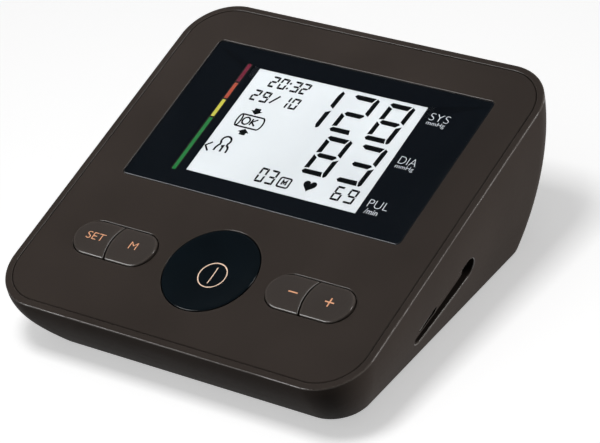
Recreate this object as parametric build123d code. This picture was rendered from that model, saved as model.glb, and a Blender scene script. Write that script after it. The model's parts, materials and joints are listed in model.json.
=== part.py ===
from build123d import *
import os
from math import cos, radians, sin, sqrt, tan

# A desktop blood pressure monitor in millimetres. X runs across it, Y from the front to the back and Z up.
# The origin is on the floor, under the middle of the body. The face slopes: pieces under it are built flat,
# with x across, y up the slope from the front edge and z out of the face, and then laid on the face.

# Body
body_width = 134.0
body_depth = 125.0
front_height = 20.9
face_tilt = 14.55
foot_height = 0.8
corner_radius = 16.5
base_corner_radius = 10.9
base_inset_side = 10.3
base_inset_front = 10.5
base_inset_back = 14.2
bulge_power = 1.734
section_count = 5
wall = 2.3
rim_round = 0.5
base_round = 1.2
seam_gap = 0.2
seam_chamfer = 0.25
ledge_width = 1.8
ledge_thickness = 1.5
fit_gap = 0.3
touch_gap = 0.05

# Front panel and window
panel_thickness = 2.2
window_width = 103.6
window_height = 58.7
window_front_share = 0.3974
window_corner = 1.5
window_thickness = 0.5
window_gap = 0.15
window_chamfer = 0.2
backing_thickness = 0.1

# Display
display_width = 63.3
display_height = 43.9
scale_bar_width = 2.2
scale_bar_length = 45.8
scale_bar_x = -36.0
glass_width = 68.0
glass_height = 50.0
glass_thickness = 2.4
backlight_side_inset = 1.0
backlight_end_inset = 3.5
backlight_thickness = 2.0
display_frame_wall = 1.6
strip_inset = 4.0
strip_width = 1.8

# Keys
key_row = 29.5
start_key_radius = 15.4
start_key_dish = 2.4
start_key_lip = 0.9
start_key_proud = 0.3
pair_length = 30.5
pair_height = 13.5
pair_offset = 36.3
pair_split_shift = 1.3
pair_split_bulge = 1.1
pair_split_gap = 0.5
pair_split_overlap = 3.4
pair_key_proud = 1.2
pair_key_edge_proud = 0.5
key_flange_width = 0.8
key_flange_thickness = 0.9
key_flange_gap = 0.15
key_stem_radius = 2.2
key_stem_share = 0.42
keypad_thickness = 0.8
keypad_margin = 0.6
keypad_corner = 3.4
dome_foot_radius = 4.2
dome_top_radius = 2.4

# Circuit board
board_bay_gap = 0.38
board_thickness = 1.6
board_front = 8.5
board_back_room = 13.64
board_side_room = 14.0
board_boss_radius = 2.3
board_hole_radius = 1.3
board_screw_pilot_radius = 0.85
board_screw_margin = 5.0
board_screw_side_margin = 7.0
board_back_side_margin = 2.7
window_screw_gap = 9.05
frame_boss_gap = 1.1
board_screw_radius = 1.1
board_screw_length = 5.0
board_screw_head_radius = 2.0
board_screw_head_height = 1.3
driver_recess_depth = 0.8
driver_recess_width = 0.5
driver_recess_share = 0.6
screw_tip_share = 0.5

# Bottom cover, battery bay and door
cover_thickness = 2.2
cell_radius = 7.25
cell_length = 50.5
cell_count = 4
cell_pitch = 15.3
cell_nub_radius = 2.75
cell_nub_height = 1.2
cell_edge_round = 0.5
cell_floor_gap = 0.3
bay_end_room = 5.6
bay_wall = 1.0
door_thickness = 1.8
tab_count = 2
tab_spacing = 36.0
tab_width = 8.0
tab_length = 2.2
tab_thickness = 0.9
tab_seat = 1.2
tab_swing_room = 3.4
latch_plate_width = 18.0
latch_width = 12.0
latch_height = 4.6
latch_thickness = 1.2
latch_set_back = 1.2
latch_room = 4.6
latch_tooth_height = 0.8
finger_notch_width = 16.0
finger_notch_length = 7.0
finger_notch_depth = 1.0
spring_wire_radius = 0.35
spring_foot_radius = 4.0
spring_tip_radius = 2.0
spring_turns = 3
contact_thickness = 0.4
contact_width = 10.0

# Feet and housing screws
foot_radius = 4.5
foot_seat = 0.7
foot_round = 0.27
foot_side_room = 10.7
foot_front_room = 29.5
foot_back_room = 37.5
post_radius = 3.4
post_pilot_radius = 1.0
front_post_bay_gap = 1.0
front_post_room = 17.2
back_post_side_room = 7.5
back_post_room = 25.0
post_joint_height = 8.0
housing_screw_radius = 1.3
housing_screw_length = 12.0
housing_screw_head_radius = 2.5
housing_screw_head_height = 1.8
housing_screw_hole_radius = 1.5
housing_screw_seat = 4.4

# Side opening, socket plate and power socket
opening_middle_y = -6.5
opening_middle_z = 16.0
opening_length = 32.5
opening_height = 7.3
opening_round = 0.4
plate_depth = 1.0
plate_fit = 0.1
plate_low_gap = 1.8
plate_lean = 3.2
plate_back_gap = 5.0
plate_corner_radius = 2.0
plate_flange = 1.5
plate_set_in = 12.5
plate_well_floor = 1.5
socket_offset = -8.1
socket_width = 9.4
socket_height = 3.1
socket_shell = 0.35
socket_length = 6.6
socket_tongue_width = 6.6
socket_tongue_height = 0.8
socket_tongue_length = 5.0
socket_board_length = 24.0
socket_board_height = 8.0
socket_board_thickness = 1.2
socket_board_middle = -6.0
socket_screw_spacing = 19.0
socket_screw_radius = 0.7
socket_screw_length = 3.0
socket_screw_head_radius = 1.4
socket_screw_head_height = 1.0

# Cuff air socket, in the left side
cuff_y = -6.5
cuff_z = 16.0
cuff_recess_radius = 8.0
cuff_recess_depth = 6.6
cuff_socket_radius = 5.5
cuff_socket_length = 11.0
cuff_socket_proud = 0.3
cuff_flange_radius = 6.6
cuff_flange_thickness = 1.5
cuff_bore_radius = 2.2
cuff_bore_length = 8.0

# Air system
barb_radius = 1.3
barb_bore_radius = 0.7
barb_length = 4.0
tube_radius = 2.0
tube_bore_radius = 1.35
pump_radius = 10.4
pump_back_room = 21.3
pump_bay_gap = 0.75
pump_z = 17.8
pump_head_x = -24.0
pump_head_length = 21.0
motor_radius = 9.8
motor_length = 30.0
motor_boss_radius = 3.5
motor_boss_length = 1.6
saddle_width = 8.0
saddle_depth = 11.5
saddle_shift = -3.0
saddle_inset = 5.0
cross_pump_gap = 12.0
cross_back_room = 39.64
cross_radius = 2.6
cross_reach = 2.8
valve_width = 10.0
valve_length = 12.0
valve_height = 8.0
barb_end_gap = 0.2
sensor_cross_gap = 19.5
sensor_size = 8.0
sensor_height = 3.6
tube_bend_share = 0.45

# Small parts on the board; each place is a distance up the slope from the window's middle
processor_size = 12.0
processor_height = 1.2
processor_x = 8.0
processor_place = -8.4
driver_width = 8.0
driver_length = 5.0
driver_height = 1.6
driver_x = -12.0
driver_place = -18.4
crystal_width = 4.5
crystal_length = 10.0
crystal_height = 3.2
crystal_x = 24.0
crystal_place = -10.4
capacitor_radius = 3.0
capacitor_height = 6.0
capacitor_xs = (20.0, 29.0)
capacitor_place = 7.6
buzzer_radius = 6.0
buzzer_height = 4.0
buzzer_port_radius = 1.2
buzzer_port_depth = 1.5
buzzer_x = 0.0
buzzer_place = 13.6
lead_radius = 0.6
lead_spacing = 2.4
pump_lead_spacing = 9.6
pump_lead_reach = 7.0
battery_lead_place = 15.0
battery_lead_reach = 6.4
battery_lead_z = 9.0

tilt = radians(face_tilt)
face_length = body_depth / cos(tilt)
face_frame = Plane(
    origin=(0, -body_depth / 2, front_height),
    x_dir=(1, 0, 0),
    z_dir=(0, -sin(tilt), cos(tilt)),
)

# The window and the keys share out the face's length.
spare_length = face_length - key_row - start_key_radius - window_height
window_front = key_row + start_key_radius + window_front_share * spare_length
window_middle = window_front + window_height / 2
window_recess = window_thickness + backing_thickness
backlight_width = glass_width - 2 * backlight_side_inset
backlight_height = glass_height - 2 * backlight_end_inset
glass_under = window_recess + glass_thickness

# The pump lies against the back wall, and the battery bay lies against the pump.
cover_top = foot_height + cover_thickness
base_side = body_width / 2 - base_inset_side
pump_y = body_depth / 2 - pump_back_room
pump_head_end = pump_head_x + pump_head_length
bay_length = cell_length + bay_end_room
bay_width = cell_count * cell_pitch
bay_side = bay_width / 2 + bay_wall
bay_back = pump_y - pump_radius - pump_bay_gap - bay_wall
bay_front = bay_back - bay_length
bay_middle = (bay_front + bay_back) / 2
cell_axis_z = foot_height + door_thickness + cell_floor_gap + cell_radius
bay_ceiling = cell_axis_z + cell_radius + cell_floor_gap
door_back = bay_back + bay_wall + latch_room

# The board hangs under the face, just over the front edge of the battery bay.
bay_edge_height = front_height + (bay_front - bay_wall + body_depth / 2) * tan(tilt)
board_bottom = (bay_edge_height - bay_ceiling - bay_wall) * cos(tilt) - board_bay_gap
board_drop = board_bottom - board_thickness
board_back = face_length - board_back_room
board_middle_screw_place = window_front - window_screw_gap
board_step = board_middle_screw_place + board_screw_margin
board_front_width = body_width - 2 * board_side_room
board_back_screw_x = glass_width / 2 + fit_gap + display_frame_wall + frame_boss_gap + board_boss_radius
board_back_width = 2 * (board_back_screw_x + board_back_side_margin)
keypad_top = board_drop - keypad_thickness
key_flange_top = panel_thickness + key_flange_gap
key_flange_under = key_flange_top + key_flange_thickness
key_stem_length = key_stem_share * (keypad_top - key_flange_under)

# Sockets and hoses
plate_inner_x = body_width / 2 - plate_set_in
cuff_floor_x = -body_width / 2 + cuff_recess_depth
cross_x = pump_head_x - cross_pump_gap
cross_place = face_length - cross_back_room


def on_face(shape):
    return face_frame.location * shape


def slab(outline, top, thickness):
    return Pos(0, 0, top - thickness) * extrude(outline, thickness)


def upright(x, y, bottom, top, radius):
    return Pos(x, y, (bottom + top) / 2) * Cylinder(radius, top - bottom)


def block(x, y, bottom, width, depth, height):
    return Pos(x, y, bottom + height / 2) * Box(width, depth, height)


def face_height(y):
    return front_height + (y + body_depth / 2) * tan(tilt)


def board_underside(y):
    return face_height(y) - board_bottom / cos(tilt)


def combined(pieces):
    return Part() + list(pieces)


def outer_section(drop, inward=0.0):
    # One of a fan of planes between the sloping face, where drop is 0, and the flat base, where it is 1.
    bulge = drop**bulge_power
    half_width = body_width / 2 - base_inset_side * bulge - inward
    front = -body_depth / 2 + base_inset_front * bulge + inward
    back = body_depth / 2 - base_inset_back * bulge - inward
    middle = (front + back) / 2
    slope = (1 - drop) * tan(tilt)
    height = foot_height + (1 - drop) * (face_height(middle) - foot_height)
    radius = corner_radius + (base_corner_radius - corner_radius) * drop - inward
    plane = Plane(origin=(0, middle, height), x_dir=(1, 0, 0), z_dir=(0, -slope, 1))
    return plane * RectangleRounded(2 * half_width, (back - front) * sqrt(1 + slope**2), radius)


def body_form(inward=0.0):
    drops = [step / (section_count - 1) for step in range(section_count)]
    return loft([outer_section(drop, inward) for drop in drops])


def face_outline(inset):
    outline = RectangleRounded(body_width - 2 * inset, face_length - 2 * inset, corner_radius - inset)
    return Pos(0, face_length / 2) * outline


def base_outline(inset):
    front = -body_depth / 2 + base_inset_front + inset
    back = body_depth / 2 - base_inset_back - inset
    width = body_width - 2 * base_inset_side - 2 * inset
    return Pos(0, (front + back) / 2) * RectangleRounded(width, back - front, base_corner_radius - inset)


def side_slab(outline, start_x, end_x):
    # The outline is drawn on the right side, with x along the opening and y across it.
    plane = Plane(
        origin=(start_x, opening_middle_y, opening_middle_z),
        x_dir=(0, cos(tilt), sin(tilt)),
        z_dir=(1, 0, 0),
    )
    return plane * extrude(outline, end_x - start_x)


def socket_screw_places():
    half = socket_screw_spacing / 2
    return [socket_board_middle - half, socket_board_middle + half]


def along_x(start, end, y, z, radius):
    return Pos((start + end) / 2, y, z) * Rot(0, 90, 0) * Cylinder(radius, end - start)


def along_y(start, end, x, z, radius):
    return Pos(x, (start + end) / 2, z) * Rot(90, 0, 0) * Cylinder(radius, end - start)


def cross_recess(radius, depth):
    bar = Box(2 * radius, driver_recess_width, depth)
    return Pos(0, 0, -depth / 2) * (bar + Rot(0, 0, 90) * bar)


def screw(radius, length, head_radius, head_height):
    # Stands head up, with the underside of its head at zero height.
    head = Pos(0, 0, head_height / 2) * Cylinder(head_radius, head_height)
    shank = Pos(0, 0, -length / 2) * Cylinder(radius, length)
    tip = chamfer(shank.edges().sort_by(Axis.Z)[0], radius * screw_tip_share)
    recess = Pos(0, 0, head_height) * cross_recess(head_radius * driver_recess_share, driver_recess_depth)
    return head + tip - recess


def post_places():
    front_x = bay_side + front_post_bay_gap + post_radius
    back_x = base_side - back_post_side_room
    front = [(side * front_x, -body_depth / 2 + front_post_room) for side in (-1, 1)]
    back = [(side * back_x, body_depth / 2 - back_post_room) for side in (-1, 1)]
    return front + back


def foot_places():
    x = base_side - foot_side_room
    front = -body_depth / 2 + foot_front_room
    back = body_depth / 2 - foot_back_room
    return {
        "foot_front_left": (-x, front),
        "foot_front_right": (x, front),
        "foot_back_left": (-x, back),
        "foot_back_right": (x, back),
    }


def board_screw_places():
    front_x = board_front_width / 2 - board_screw_side_margin
    rows = [
        (front_x, board_front + board_screw_margin),
        (front_x, board_middle_screw_place),
        (board_back_screw_x, board_back - board_screw_margin),
    ]
    return [(side * x, place) for x, place in rows for side in (-1, 1)]


def on_opening_lip(edge):
    # The opening's outer edge lies on the wall's outside, and its inner edge a wall's thickness deeper.
    box = edge.bounding_box()
    tall = box.size.Z < opening_length and box.size.Y < opening_length + opening_height
    near = abs(edge.center().Y - opening_middle_y) < opening_length / 2 + wall
    level = abs(edge.center().Z - opening_middle_z) < opening_height
    return tall and near and level and edge.center().X > outer_side_x(edge.center()) - wall / 2


def outer_side_x(point):
    drop = 1 - (point.Z - foot_height) / (face_height(point.Y) - foot_height)
    return body_width / 2 - base_inset_side * drop**bulge_power


def make_side_housing():
    form = body_form()
    rim = form.faces().sort_by(Axis.Z)[-1].edges()
    form = fillet(rim, rim_round)
    foot_edge = form.faces().sort_by(Axis.Z)[0].edges()
    form = fillet(foot_edge, base_round)
    hollow = body_form(wall)
    housing = form - hollow
    ledge_top = -panel_thickness
    ledge = on_face(slab(face_outline(wall / 2), ledge_top, ledge_thickness)) & form
    housing += ledge - on_face(slab(face_outline(wall + ledge_width), ledge_top, ledge_thickness))
    base_ledge = hollow & block(0, 0, cover_top, body_width, body_depth, ledge_thickness)
    housing += base_ledge - Pos(0, 0, cover_top) * extrude(
        base_outline(wall + ledge_width), ledge_thickness
    )
    for x, y in post_places():
        housing -= upright(x, y, cover_top, cover_top + ledge_thickness, post_radius + fit_gap)
    housing -= on_face(slab(face_outline(wall), seam_gap, panel_thickness + seam_gap))

    opening = side_slab(SlotOverall(opening_length, opening_height), plate_inner_x, body_width / 2)
    housing -= opening
    lip = housing.edges().filter_by(lambda edge: on_opening_lip(edge))
    housing = fillet(lip, opening_round)

    outside = -body_width / 2
    backing = along_x(outside, cuff_floor_x + wall, cuff_y, cuff_z, cuff_recess_radius + wall)
    housing += backing & form
    housing -= along_x(outside, cuff_floor_x, cuff_y, cuff_z, cuff_recess_radius)
    hole_end = cuff_floor_x + wall + cuff_flange_thickness
    housing -= along_x(outside, hole_end, cuff_y, cuff_z, cuff_socket_radius + touch_gap)
    return housing


def pair_outline(side, grow=0.0):
    outline = SlotOverall(pair_length + 2 * grow, pair_height + 2 * grow)
    return Pos(side * pair_offset, key_row) * outline


def start_outline(grow=0.0):
    return Pos(0, key_row) * Circle(start_key_radius + grow)


def make_front_panel():
    panel = slab(face_outline(wall + seam_gap), 0, panel_thickness)
    panel = chamfer(panel.faces().sort_by(Axis.Z)[-1].edges(), seam_chamfer)
    window = Pos(0, window_middle) * RectangleRounded(window_width, window_height, window_corner)
    panel -= slab(window, 0, window_recess)
    well = Pos(0, window_middle) * Rectangle(glass_width + 2 * fit_gap, glass_height + 2 * fit_gap)
    panel -= slab(well, 0, panel_thickness)
    panel -= slab(start_outline(fit_gap), 0, panel_thickness)
    for side in (-1, 1):
        panel -= slab(pair_outline(side), 0, panel_thickness)
    boss_length = board_drop - panel_thickness
    for x, place in board_screw_places():
        boss = Pos(x, place) * Circle(board_boss_radius)
        pilot = Pos(x, place) * Circle(board_screw_pilot_radius)
        panel += slab(boss, -panel_thickness, boss_length)
        panel -= slab(pilot, -board_drop + board_screw_length, board_screw_length)
    panel = on_face(panel)
    under_face = on_face(slab(face_outline(wall + seam_gap), -panel_thickness, body_depth))
    for x, y in post_places():
        post = upright(x, y, post_joint_height, face_height(y), post_radius)
        pilot_top = housing_screw_seat + housing_screw_length
        panel += post & under_face
        panel -= upright(x, y, post_joint_height, pilot_top, post_pilot_radius)
    return panel


def window_outline(inset):
    outline = RectangleRounded(
        window_width - 2 * inset, window_height - 2 * inset, window_corner - inset
    )
    return Pos(0, window_middle) * outline


def make_display_window():
    window = slab(window_outline(window_gap), 0, window_thickness)
    return on_face(chamfer(window.faces().sort_by(Axis.Z)[-1].edges(), window_chamfer))


def make_window_backing():
    outline = window_outline(window_gap) - Pos(0, window_middle) * Rectangle(display_width, display_height)
    outline -= Pos(scale_bar_x, window_middle) * Rectangle(scale_bar_width, scale_bar_length)
    return on_face(slab(outline, -window_thickness, backing_thickness))


def display_plate(width, height, depth, thickness):
    return on_face(slab(Pos(0, window_middle) * Rectangle(width, height), -depth, thickness))


def make_connector_strips():
    # One strip lies midway between the backlight's edge and the glass's edge, at each end.
    place = (glass_height + backlight_height) / 4
    length = glass_width - 2 * strip_inset
    strips = [
        Pos(0, window_middle + side * place) * Rectangle(length, strip_width) for side in (-1, 1)
    ]
    return on_face(combined(slab(strip, -glass_under, board_drop - glass_under) for strip in strips))


def make_display_frame():
    width = glass_width + 2 * fit_gap
    height = glass_height + 2 * fit_gap
    outer = Rectangle(width + 2 * display_frame_wall, height + 2 * display_frame_wall)
    ring = outer - Rectangle(width, height)
    depth = panel_thickness + touch_gap
    return on_face(slab(Pos(0, window_middle) * ring, -depth, board_drop - depth))


def make_start_key():
    centre = Pos(0, key_row)
    cap = centre * slab(Circle(start_key_radius), start_key_proud, key_flange_top + start_key_proud)
    dish_radius = start_key_radius - start_key_lip
    ball_radius = (dish_radius**2 + start_key_dish**2) / (2 * start_key_dish)
    ball_height = start_key_proud + ball_radius - start_key_dish
    cap -= centre * Pos(0, 0, ball_height) * Sphere(ball_radius)
    flange = Circle(start_key_radius + fit_gap + key_flange_width)
    cap += centre * slab(flange, -key_flange_top, key_flange_thickness)
    cap += centre * slab(Circle(key_stem_radius), -key_flange_under, key_stem_length)
    return on_face(cap)


def split_curve(side, shift):
    # The outline of a large disc to the right of the gap between two keys; its rim bulges to the left.
    half_height = pair_height / 2
    radius = (half_height**2 + pair_split_bulge**2) / (2 * pair_split_bulge)
    leftmost = side * pair_offset - pair_split_shift + shift
    return Pos(leftmost + radius, key_row) * Circle(radius)


def pair_half(outline, side, right_half):
    reach = pair_length + 2 * pair_height
    place = Pos(side * pair_offset - pair_split_shift + pair_split_overlap, key_row)
    beyond = place * Rectangle(reach, reach, align=(Align.MIN, Align.CENTER))
    if right_half:
        return outline & (split_curve(side, pair_split_gap / 2) + beyond)
    return outline - (split_curve(side, -pair_split_gap / 2) + beyond)


def make_pair_key(side, right_half):
    outline = pair_half(pair_outline(side, -fit_gap), side, right_half)
    cap = slab(outline, pair_key_proud, pair_key_proud + key_flange_top)
    half_height = pair_height / 2 - fit_gap
    crown = pair_key_proud - pair_key_edge_proud
    crown_radius = (half_height**2 + crown**2) / (2 * crown)
    crown_place = Pos(side * pair_offset, key_row, pair_key_proud - crown_radius)
    cap &= crown_place * Rot(0, 90, 0) * Cylinder(crown_radius, 2 * pair_length)
    flange = pair_half(pair_outline(side, key_flange_width), side, right_half)
    cap += slab(flange, -key_flange_top, key_flange_thickness)
    stem = Pos(pair_key_x(side, right_half), key_row) * Circle(key_stem_radius)
    cap += slab(stem, -key_flange_under, key_stem_length)
    return on_face(cap)


def pair_key_x(side, right_half):
    quarter = pair_length / 4
    return side * pair_offset - pair_split_shift / 2 + (quarter if right_half else -quarter)


def key_xs():
    return {
        "start": 0,
        "set": pair_key_x(-1, False),
        "memory": pair_key_x(-1, True),
        "minus": pair_key_x(1, False),
        "plus": pair_key_x(1, True),
    }


def make_dome(x):
    height = keypad_top - key_flange_under - key_stem_length - touch_gap
    dome = Cone(dome_foot_radius, dome_top_radius, height)
    return on_face(Pos(x, key_row, -keypad_top + height / 2) * dome)


def make_keypad_sheet():
    length = 2 * (pair_offset + pair_length / 2) - 2 * keypad_margin
    sheet = Pos(0, key_row) * RectangleRounded(length, pair_height, keypad_corner)
    return on_face(slab(sheet, -keypad_top, keypad_thickness))


def make_main_board():
    front = Pos(0, board_front) * Rectangle(
        board_front_width, board_step - board_front, align=(Align.CENTER, Align.MIN)
    )
    back = Pos(0, board_step) * Rectangle(
        board_back_width, board_back - board_step, align=(Align.CENTER, Align.MIN)
    )
    outline = front + back
    for x, place in board_screw_places():
        outline -= Pos(x, place) * Circle(board_hole_radius)
    board = on_face(slab(outline, -board_drop, board_thickness))
    for x, y in post_places():
        board -= upright(x, y, 0, face_height(y), post_radius + fit_gap)
    return board


def make_board_screws():
    screws = []
    for x, place in board_screw_places():
        piece = screw(
            board_screw_radius - fit_gap,
            board_screw_length,
            board_screw_head_radius,
            board_screw_head_height,
        )
        screws.append(Pos(x, place, -board_bottom) * Rot(180, 0, 0) * piece)
    return on_face(combined(screws))


def under_board(x, place, width, length, height):
    return on_face(slab(Pos(x, place) * Rectangle(width, length), -board_bottom, height))


def make_processor():
    place = window_middle + processor_place
    return under_board(processor_x, place, processor_size, processor_size, processor_height)


def make_board_chips():
    driver_at = window_middle + driver_place
    crystal_at = window_middle + crystal_place
    driver = under_board(driver_x, driver_at, driver_width, driver_length, driver_height)
    crystal = under_board(crystal_x, crystal_at, crystal_width, crystal_length, crystal_height)
    return combined([driver, crystal])


def make_capacitors():
    outlines = [Pos(x, window_middle + capacitor_place) * Circle(capacitor_radius) for x in capacitor_xs]
    drop = board_bottom + capacitor_height
    cans = [Pos(0, 0, -drop) * extrude(outline, capacitor_height) for outline in outlines]
    return on_face(combined(cans))


def make_buzzer():
    place = Pos(buzzer_x, window_middle + buzzer_place)
    drop = board_bottom + buzzer_height
    can = Pos(0, 0, -drop) * extrude(place * Circle(buzzer_radius), buzzer_height)
    port = Pos(0, 0, -drop) * extrude(place * Circle(buzzer_port_radius), buzzer_port_depth)
    return on_face(can - port)


def make_bottom_cover():
    cover = Pos(0, 0, foot_height) * extrude(base_outline(wall + seam_gap), cover_thickness)
    outer_width = bay_width + 2 * bay_wall
    outer_length = bay_length + 2 * bay_wall
    outer_height = bay_ceiling + bay_wall - foot_height
    cover += block(0, bay_middle, foot_height, outer_width, outer_length, outer_height)
    cover -= block(0, bay_middle, foot_height, bay_width, bay_length, bay_ceiling - foot_height)
    latch_length = door_back - bay_back
    latch_middle = (door_back + bay_back) / 2
    under_wall = door_thickness + cell_floor_gap
    cover -= block(0, latch_middle, foot_height, latch_plate_width, latch_length, under_wall)
    past_wall = door_back - latch_room / 2
    cover -= block(0, past_wall, foot_height, latch_plate_width, latch_room, cover_thickness)
    slot_length = tab_length + fit_gap
    for x in tab_xs():
        cover -= block(
            x, bay_front - slot_length / 2, foot_height + tab_seat - seam_gap,
            tab_width + 2 * fit_gap, slot_length, tab_swing_room,
        )
    notch_middle = door_back + finger_notch_length / 2
    notch = block(0, notch_middle, foot_height, finger_notch_width, finger_notch_length, finger_notch_depth)
    cover -= notch
    for x, y in post_places():
        cover += upright(x, y, foot_height, post_joint_height - touch_gap, post_radius)
        cover -= upright(x, y, foot_height, housing_screw_seat, housing_screw_head_radius + fit_gap)
        cover -= upright(x, y, foot_height, post_joint_height, housing_screw_hole_radius)
    for x, y in foot_places().values():
        cover -= upright(x, y, foot_height, foot_height + foot_seat, foot_radius + touch_gap)
    return cover


def tab_xs():
    span = tab_spacing * (tab_count - 1)
    return [tab_spacing * index - span / 2 for index in range(tab_count)]


def make_battery_door():
    front = bay_front + fit_gap
    back = bay_back - fit_gap
    latch_back = door_back - fit_gap
    middle = (front + back) / 2
    door = block(0, middle, foot_height, bay_width - 2 * fit_gap, back - front, door_thickness)
    latch_middle = (back + latch_back) / 2
    latch_plate = latch_plate_width - 2 * fit_gap
    door += block(0, latch_middle, foot_height, latch_plate, latch_back - back, door_thickness)
    for x in tab_xs():
        start = bay_front - tab_length
        length = front + tab_length - start
        door += block(x, start + length / 2, foot_height + tab_seat, tab_width, length, tab_thickness)
    tongue_y = latch_back - latch_set_back - latch_thickness / 2
    door += block(0, tongue_y, foot_height, latch_width, latch_thickness, latch_height)
    tooth_y = latch_back - latch_set_back / 2
    door += block(0, tooth_y, cover_top, latch_width, latch_set_back, latch_tooth_height)
    return door


def cell_xs():
    span = cell_pitch * (cell_count - 1)
    return [cell_pitch * index - span / 2 for index in range(cell_count)]


def cell_direction(index):
    # 1 where the cell's plus end is at the back, and -1 where it is at the front.
    return 1 if index % 2 == 0 else -1


def make_cell(index):
    can_length = cell_length - cell_nub_height
    can = fillet(Cylinder(cell_radius, can_length).edges(), cell_edge_round)
    cell = Pos(0, 0, -cell_nub_height / 2) * can
    cell += Pos(0, 0, cell_length / 2 - cell_nub_height / 2) * Cylinder(cell_nub_radius, cell_nub_height)
    turn = -90 * cell_direction(index)
    return Pos(cell_xs()[index], bay_middle, cell_axis_z) * Rot(turn, 0, 0) * cell


def make_contact_springs():
    room = (bay_end_room / 2) - contact_thickness - 2 * spring_wire_radius
    springs = []
    for index, x in enumerate(cell_xs()):
        end = -cell_direction(index)
        rings = [
            Pos(0, 0, spring_wire_radius + room * turn / (spring_turns - 1))
            * Torus(
                spring_foot_radius + (spring_tip_radius - spring_foot_radius) * turn / (spring_turns - 1),
                spring_wire_radius,
            )
            for turn in range(spring_turns)
        ]
        wall_y = bay_middle + end * (bay_length / 2 - contact_thickness)
        place = Pos(x, wall_y, cell_axis_z) * Rot(90 * end, 0, 0)
        springs += [place * ring for ring in rings]
    return combined(springs)


def make_contact_plates():
    plates = []
    for index, x in enumerate(cell_xs()):
        for end in (-1, 1):
            middle_y = bay_middle + end * (bay_length / 2 - contact_thickness / 2)
            bottom = cell_axis_z - contact_width / 2
            plate = block(x, middle_y, bottom, contact_width, contact_thickness, contact_width)
            if end == cell_direction(index):
                inner = bay_middle + end * cell_length / 2
                outer = bay_middle + end * (bay_length / 2 - contact_thickness)
                plate += along_y(min(inner, outer), max(inner, outer), x, cell_axis_z, cell_nub_radius)
            plates.append(plate)
    return combined(plates)


def make_foot(place):
    x, y = place
    foot = upright(x, y, 0, foot_height + foot_seat, foot_radius)
    return fillet(foot.faces().sort_by(Axis.Z)[0].edges(), foot_round)


def make_housing_screws():
    screws = []
    for x, y in post_places():
        piece = screw(
            housing_screw_radius - fit_gap, housing_screw_length,
            housing_screw_head_radius, housing_screw_head_height,
        )
        screws.append(Pos(x, y, housing_screw_seat) * Rot(180, 0, 0) * piece)
    return combined(screws)


def plate_outline():
    # What is left of the opening's outline past the gap below the plate, which widens to the back, and the gap
    # behind it.
    outline = SlotOverall(opening_length - 2 * plate_fit, opening_height - 2 * plate_fit)
    front = Pos(-opening_length / 2, plate_low_gap - opening_height / 2) * Rot(0, 0, plate_lean)
    keep = RectangleRounded(
        opening_length, opening_height, plate_corner_radius, align=(Align.MAX, Align.MIN)
    )
    return outline & (front * Pos(opening_length - plate_back_gap, 0) * keep)


def make_socket_plate():
    flange = SlotOverall(opening_length + 2 * plate_flange, opening_height + 2 * plate_flange)
    side = body_width / 2
    behind_wall = body_form(wall + touch_gap)
    plate = side_slab(flange, plate_inner_x, side) & behind_wall
    well = SlotOverall(opening_length, opening_height)
    plate -= side_slab(well, plate_inner_x + plate_well_floor, side)
    plate += side_slab(plate_outline(), plate_inner_x, side) & body_form(plate_depth)
    hole = Pos(socket_offset, socket_rise()) * SlotOverall(
        socket_width + 2 * plate_fit, socket_height + 2 * plate_fit
    )
    plate -= side_slab(hole, plate_inner_x, side)
    for place in socket_screw_places():
        pilot = Pos(place, socket_rise()) * Circle(socket_screw_radius)
        plate -= side_slab(pilot, plate_inner_x, plate_inner_x + socket_screw_length)
    return plate


def socket_rise():
    return plate_low_gap / 2


def make_power_socket():
    outer = Pos(socket_offset, socket_rise()) * SlotOverall(socket_width, socket_height)
    inner = Pos(socket_offset, socket_rise()) * SlotOverall(
        socket_width - 2 * socket_shell, socket_height - 2 * socket_shell
    )
    mouth = plate_inner_x + socket_length
    socket = side_slab(outer, plate_inner_x, mouth)
    socket -= side_slab(inner, plate_inner_x + socket_shell, mouth)
    tongue = Pos(socket_offset, socket_rise()) * Rectangle(socket_tongue_width, socket_tongue_height)
    return socket + side_slab(tongue, plate_inner_x, plate_inner_x + socket_tongue_length)


def make_socket_board():
    outline = Pos(socket_board_middle, socket_rise()) * Rectangle(socket_board_length, socket_board_height)
    for place in socket_screw_places():
        outline -= Pos(place, socket_rise()) * Circle(socket_screw_radius + plate_fit)
    return side_slab(outline, plate_inner_x - socket_board_thickness, plate_inner_x)


def make_socket_screws():
    plane = Plane(
        origin=(plate_inner_x - socket_board_thickness, opening_middle_y, opening_middle_z),
        x_dir=(0, -cos(tilt), -sin(tilt)),
        z_dir=(-1, 0, 0),
    )
    piece = screw(
        socket_screw_radius - touch_gap, socket_screw_length,
        socket_screw_head_radius, socket_screw_head_height,
    )
    return combined(plane * (Pos(-place, socket_rise()) * piece) for place in socket_screw_places())


def make_cuff_socket():
    mouth = cuff_floor_x - cuff_socket_proud
    inner_end = mouth + cuff_socket_length
    socket = along_x(mouth, inner_end, cuff_y, cuff_z, cuff_socket_radius)
    flange_start = cuff_floor_x + wall
    socket += along_x(
        flange_start, flange_start + cuff_flange_thickness, cuff_y, cuff_z, cuff_flange_radius
    )
    barb_start = cuff_y
    barb_end = cuff_y + cuff_socket_radius + barb_length
    socket += along_y(barb_start, barb_end, cuff_barb_x(), cuff_z, barb_radius)
    socket -= along_x(mouth, mouth + cuff_bore_length, cuff_y, cuff_z, cuff_bore_radius)
    socket -= along_x(mouth, cuff_barb_x(), cuff_y, cuff_z, barb_bore_radius)
    return socket - along_y(barb_start, barb_end, cuff_barb_x(), cuff_z, barb_bore_radius)


def cuff_barb_x():
    bore_end = cuff_floor_x - cuff_socket_proud + cuff_bore_length
    socket_end = cuff_floor_x - cuff_socket_proud + cuff_socket_length
    return (bore_end + socket_end) / 2


def cross_y():
    return -body_depth / 2 + cross_place * cos(tilt)


def sensor_place():
    return cross_place - sensor_cross_gap


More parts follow.
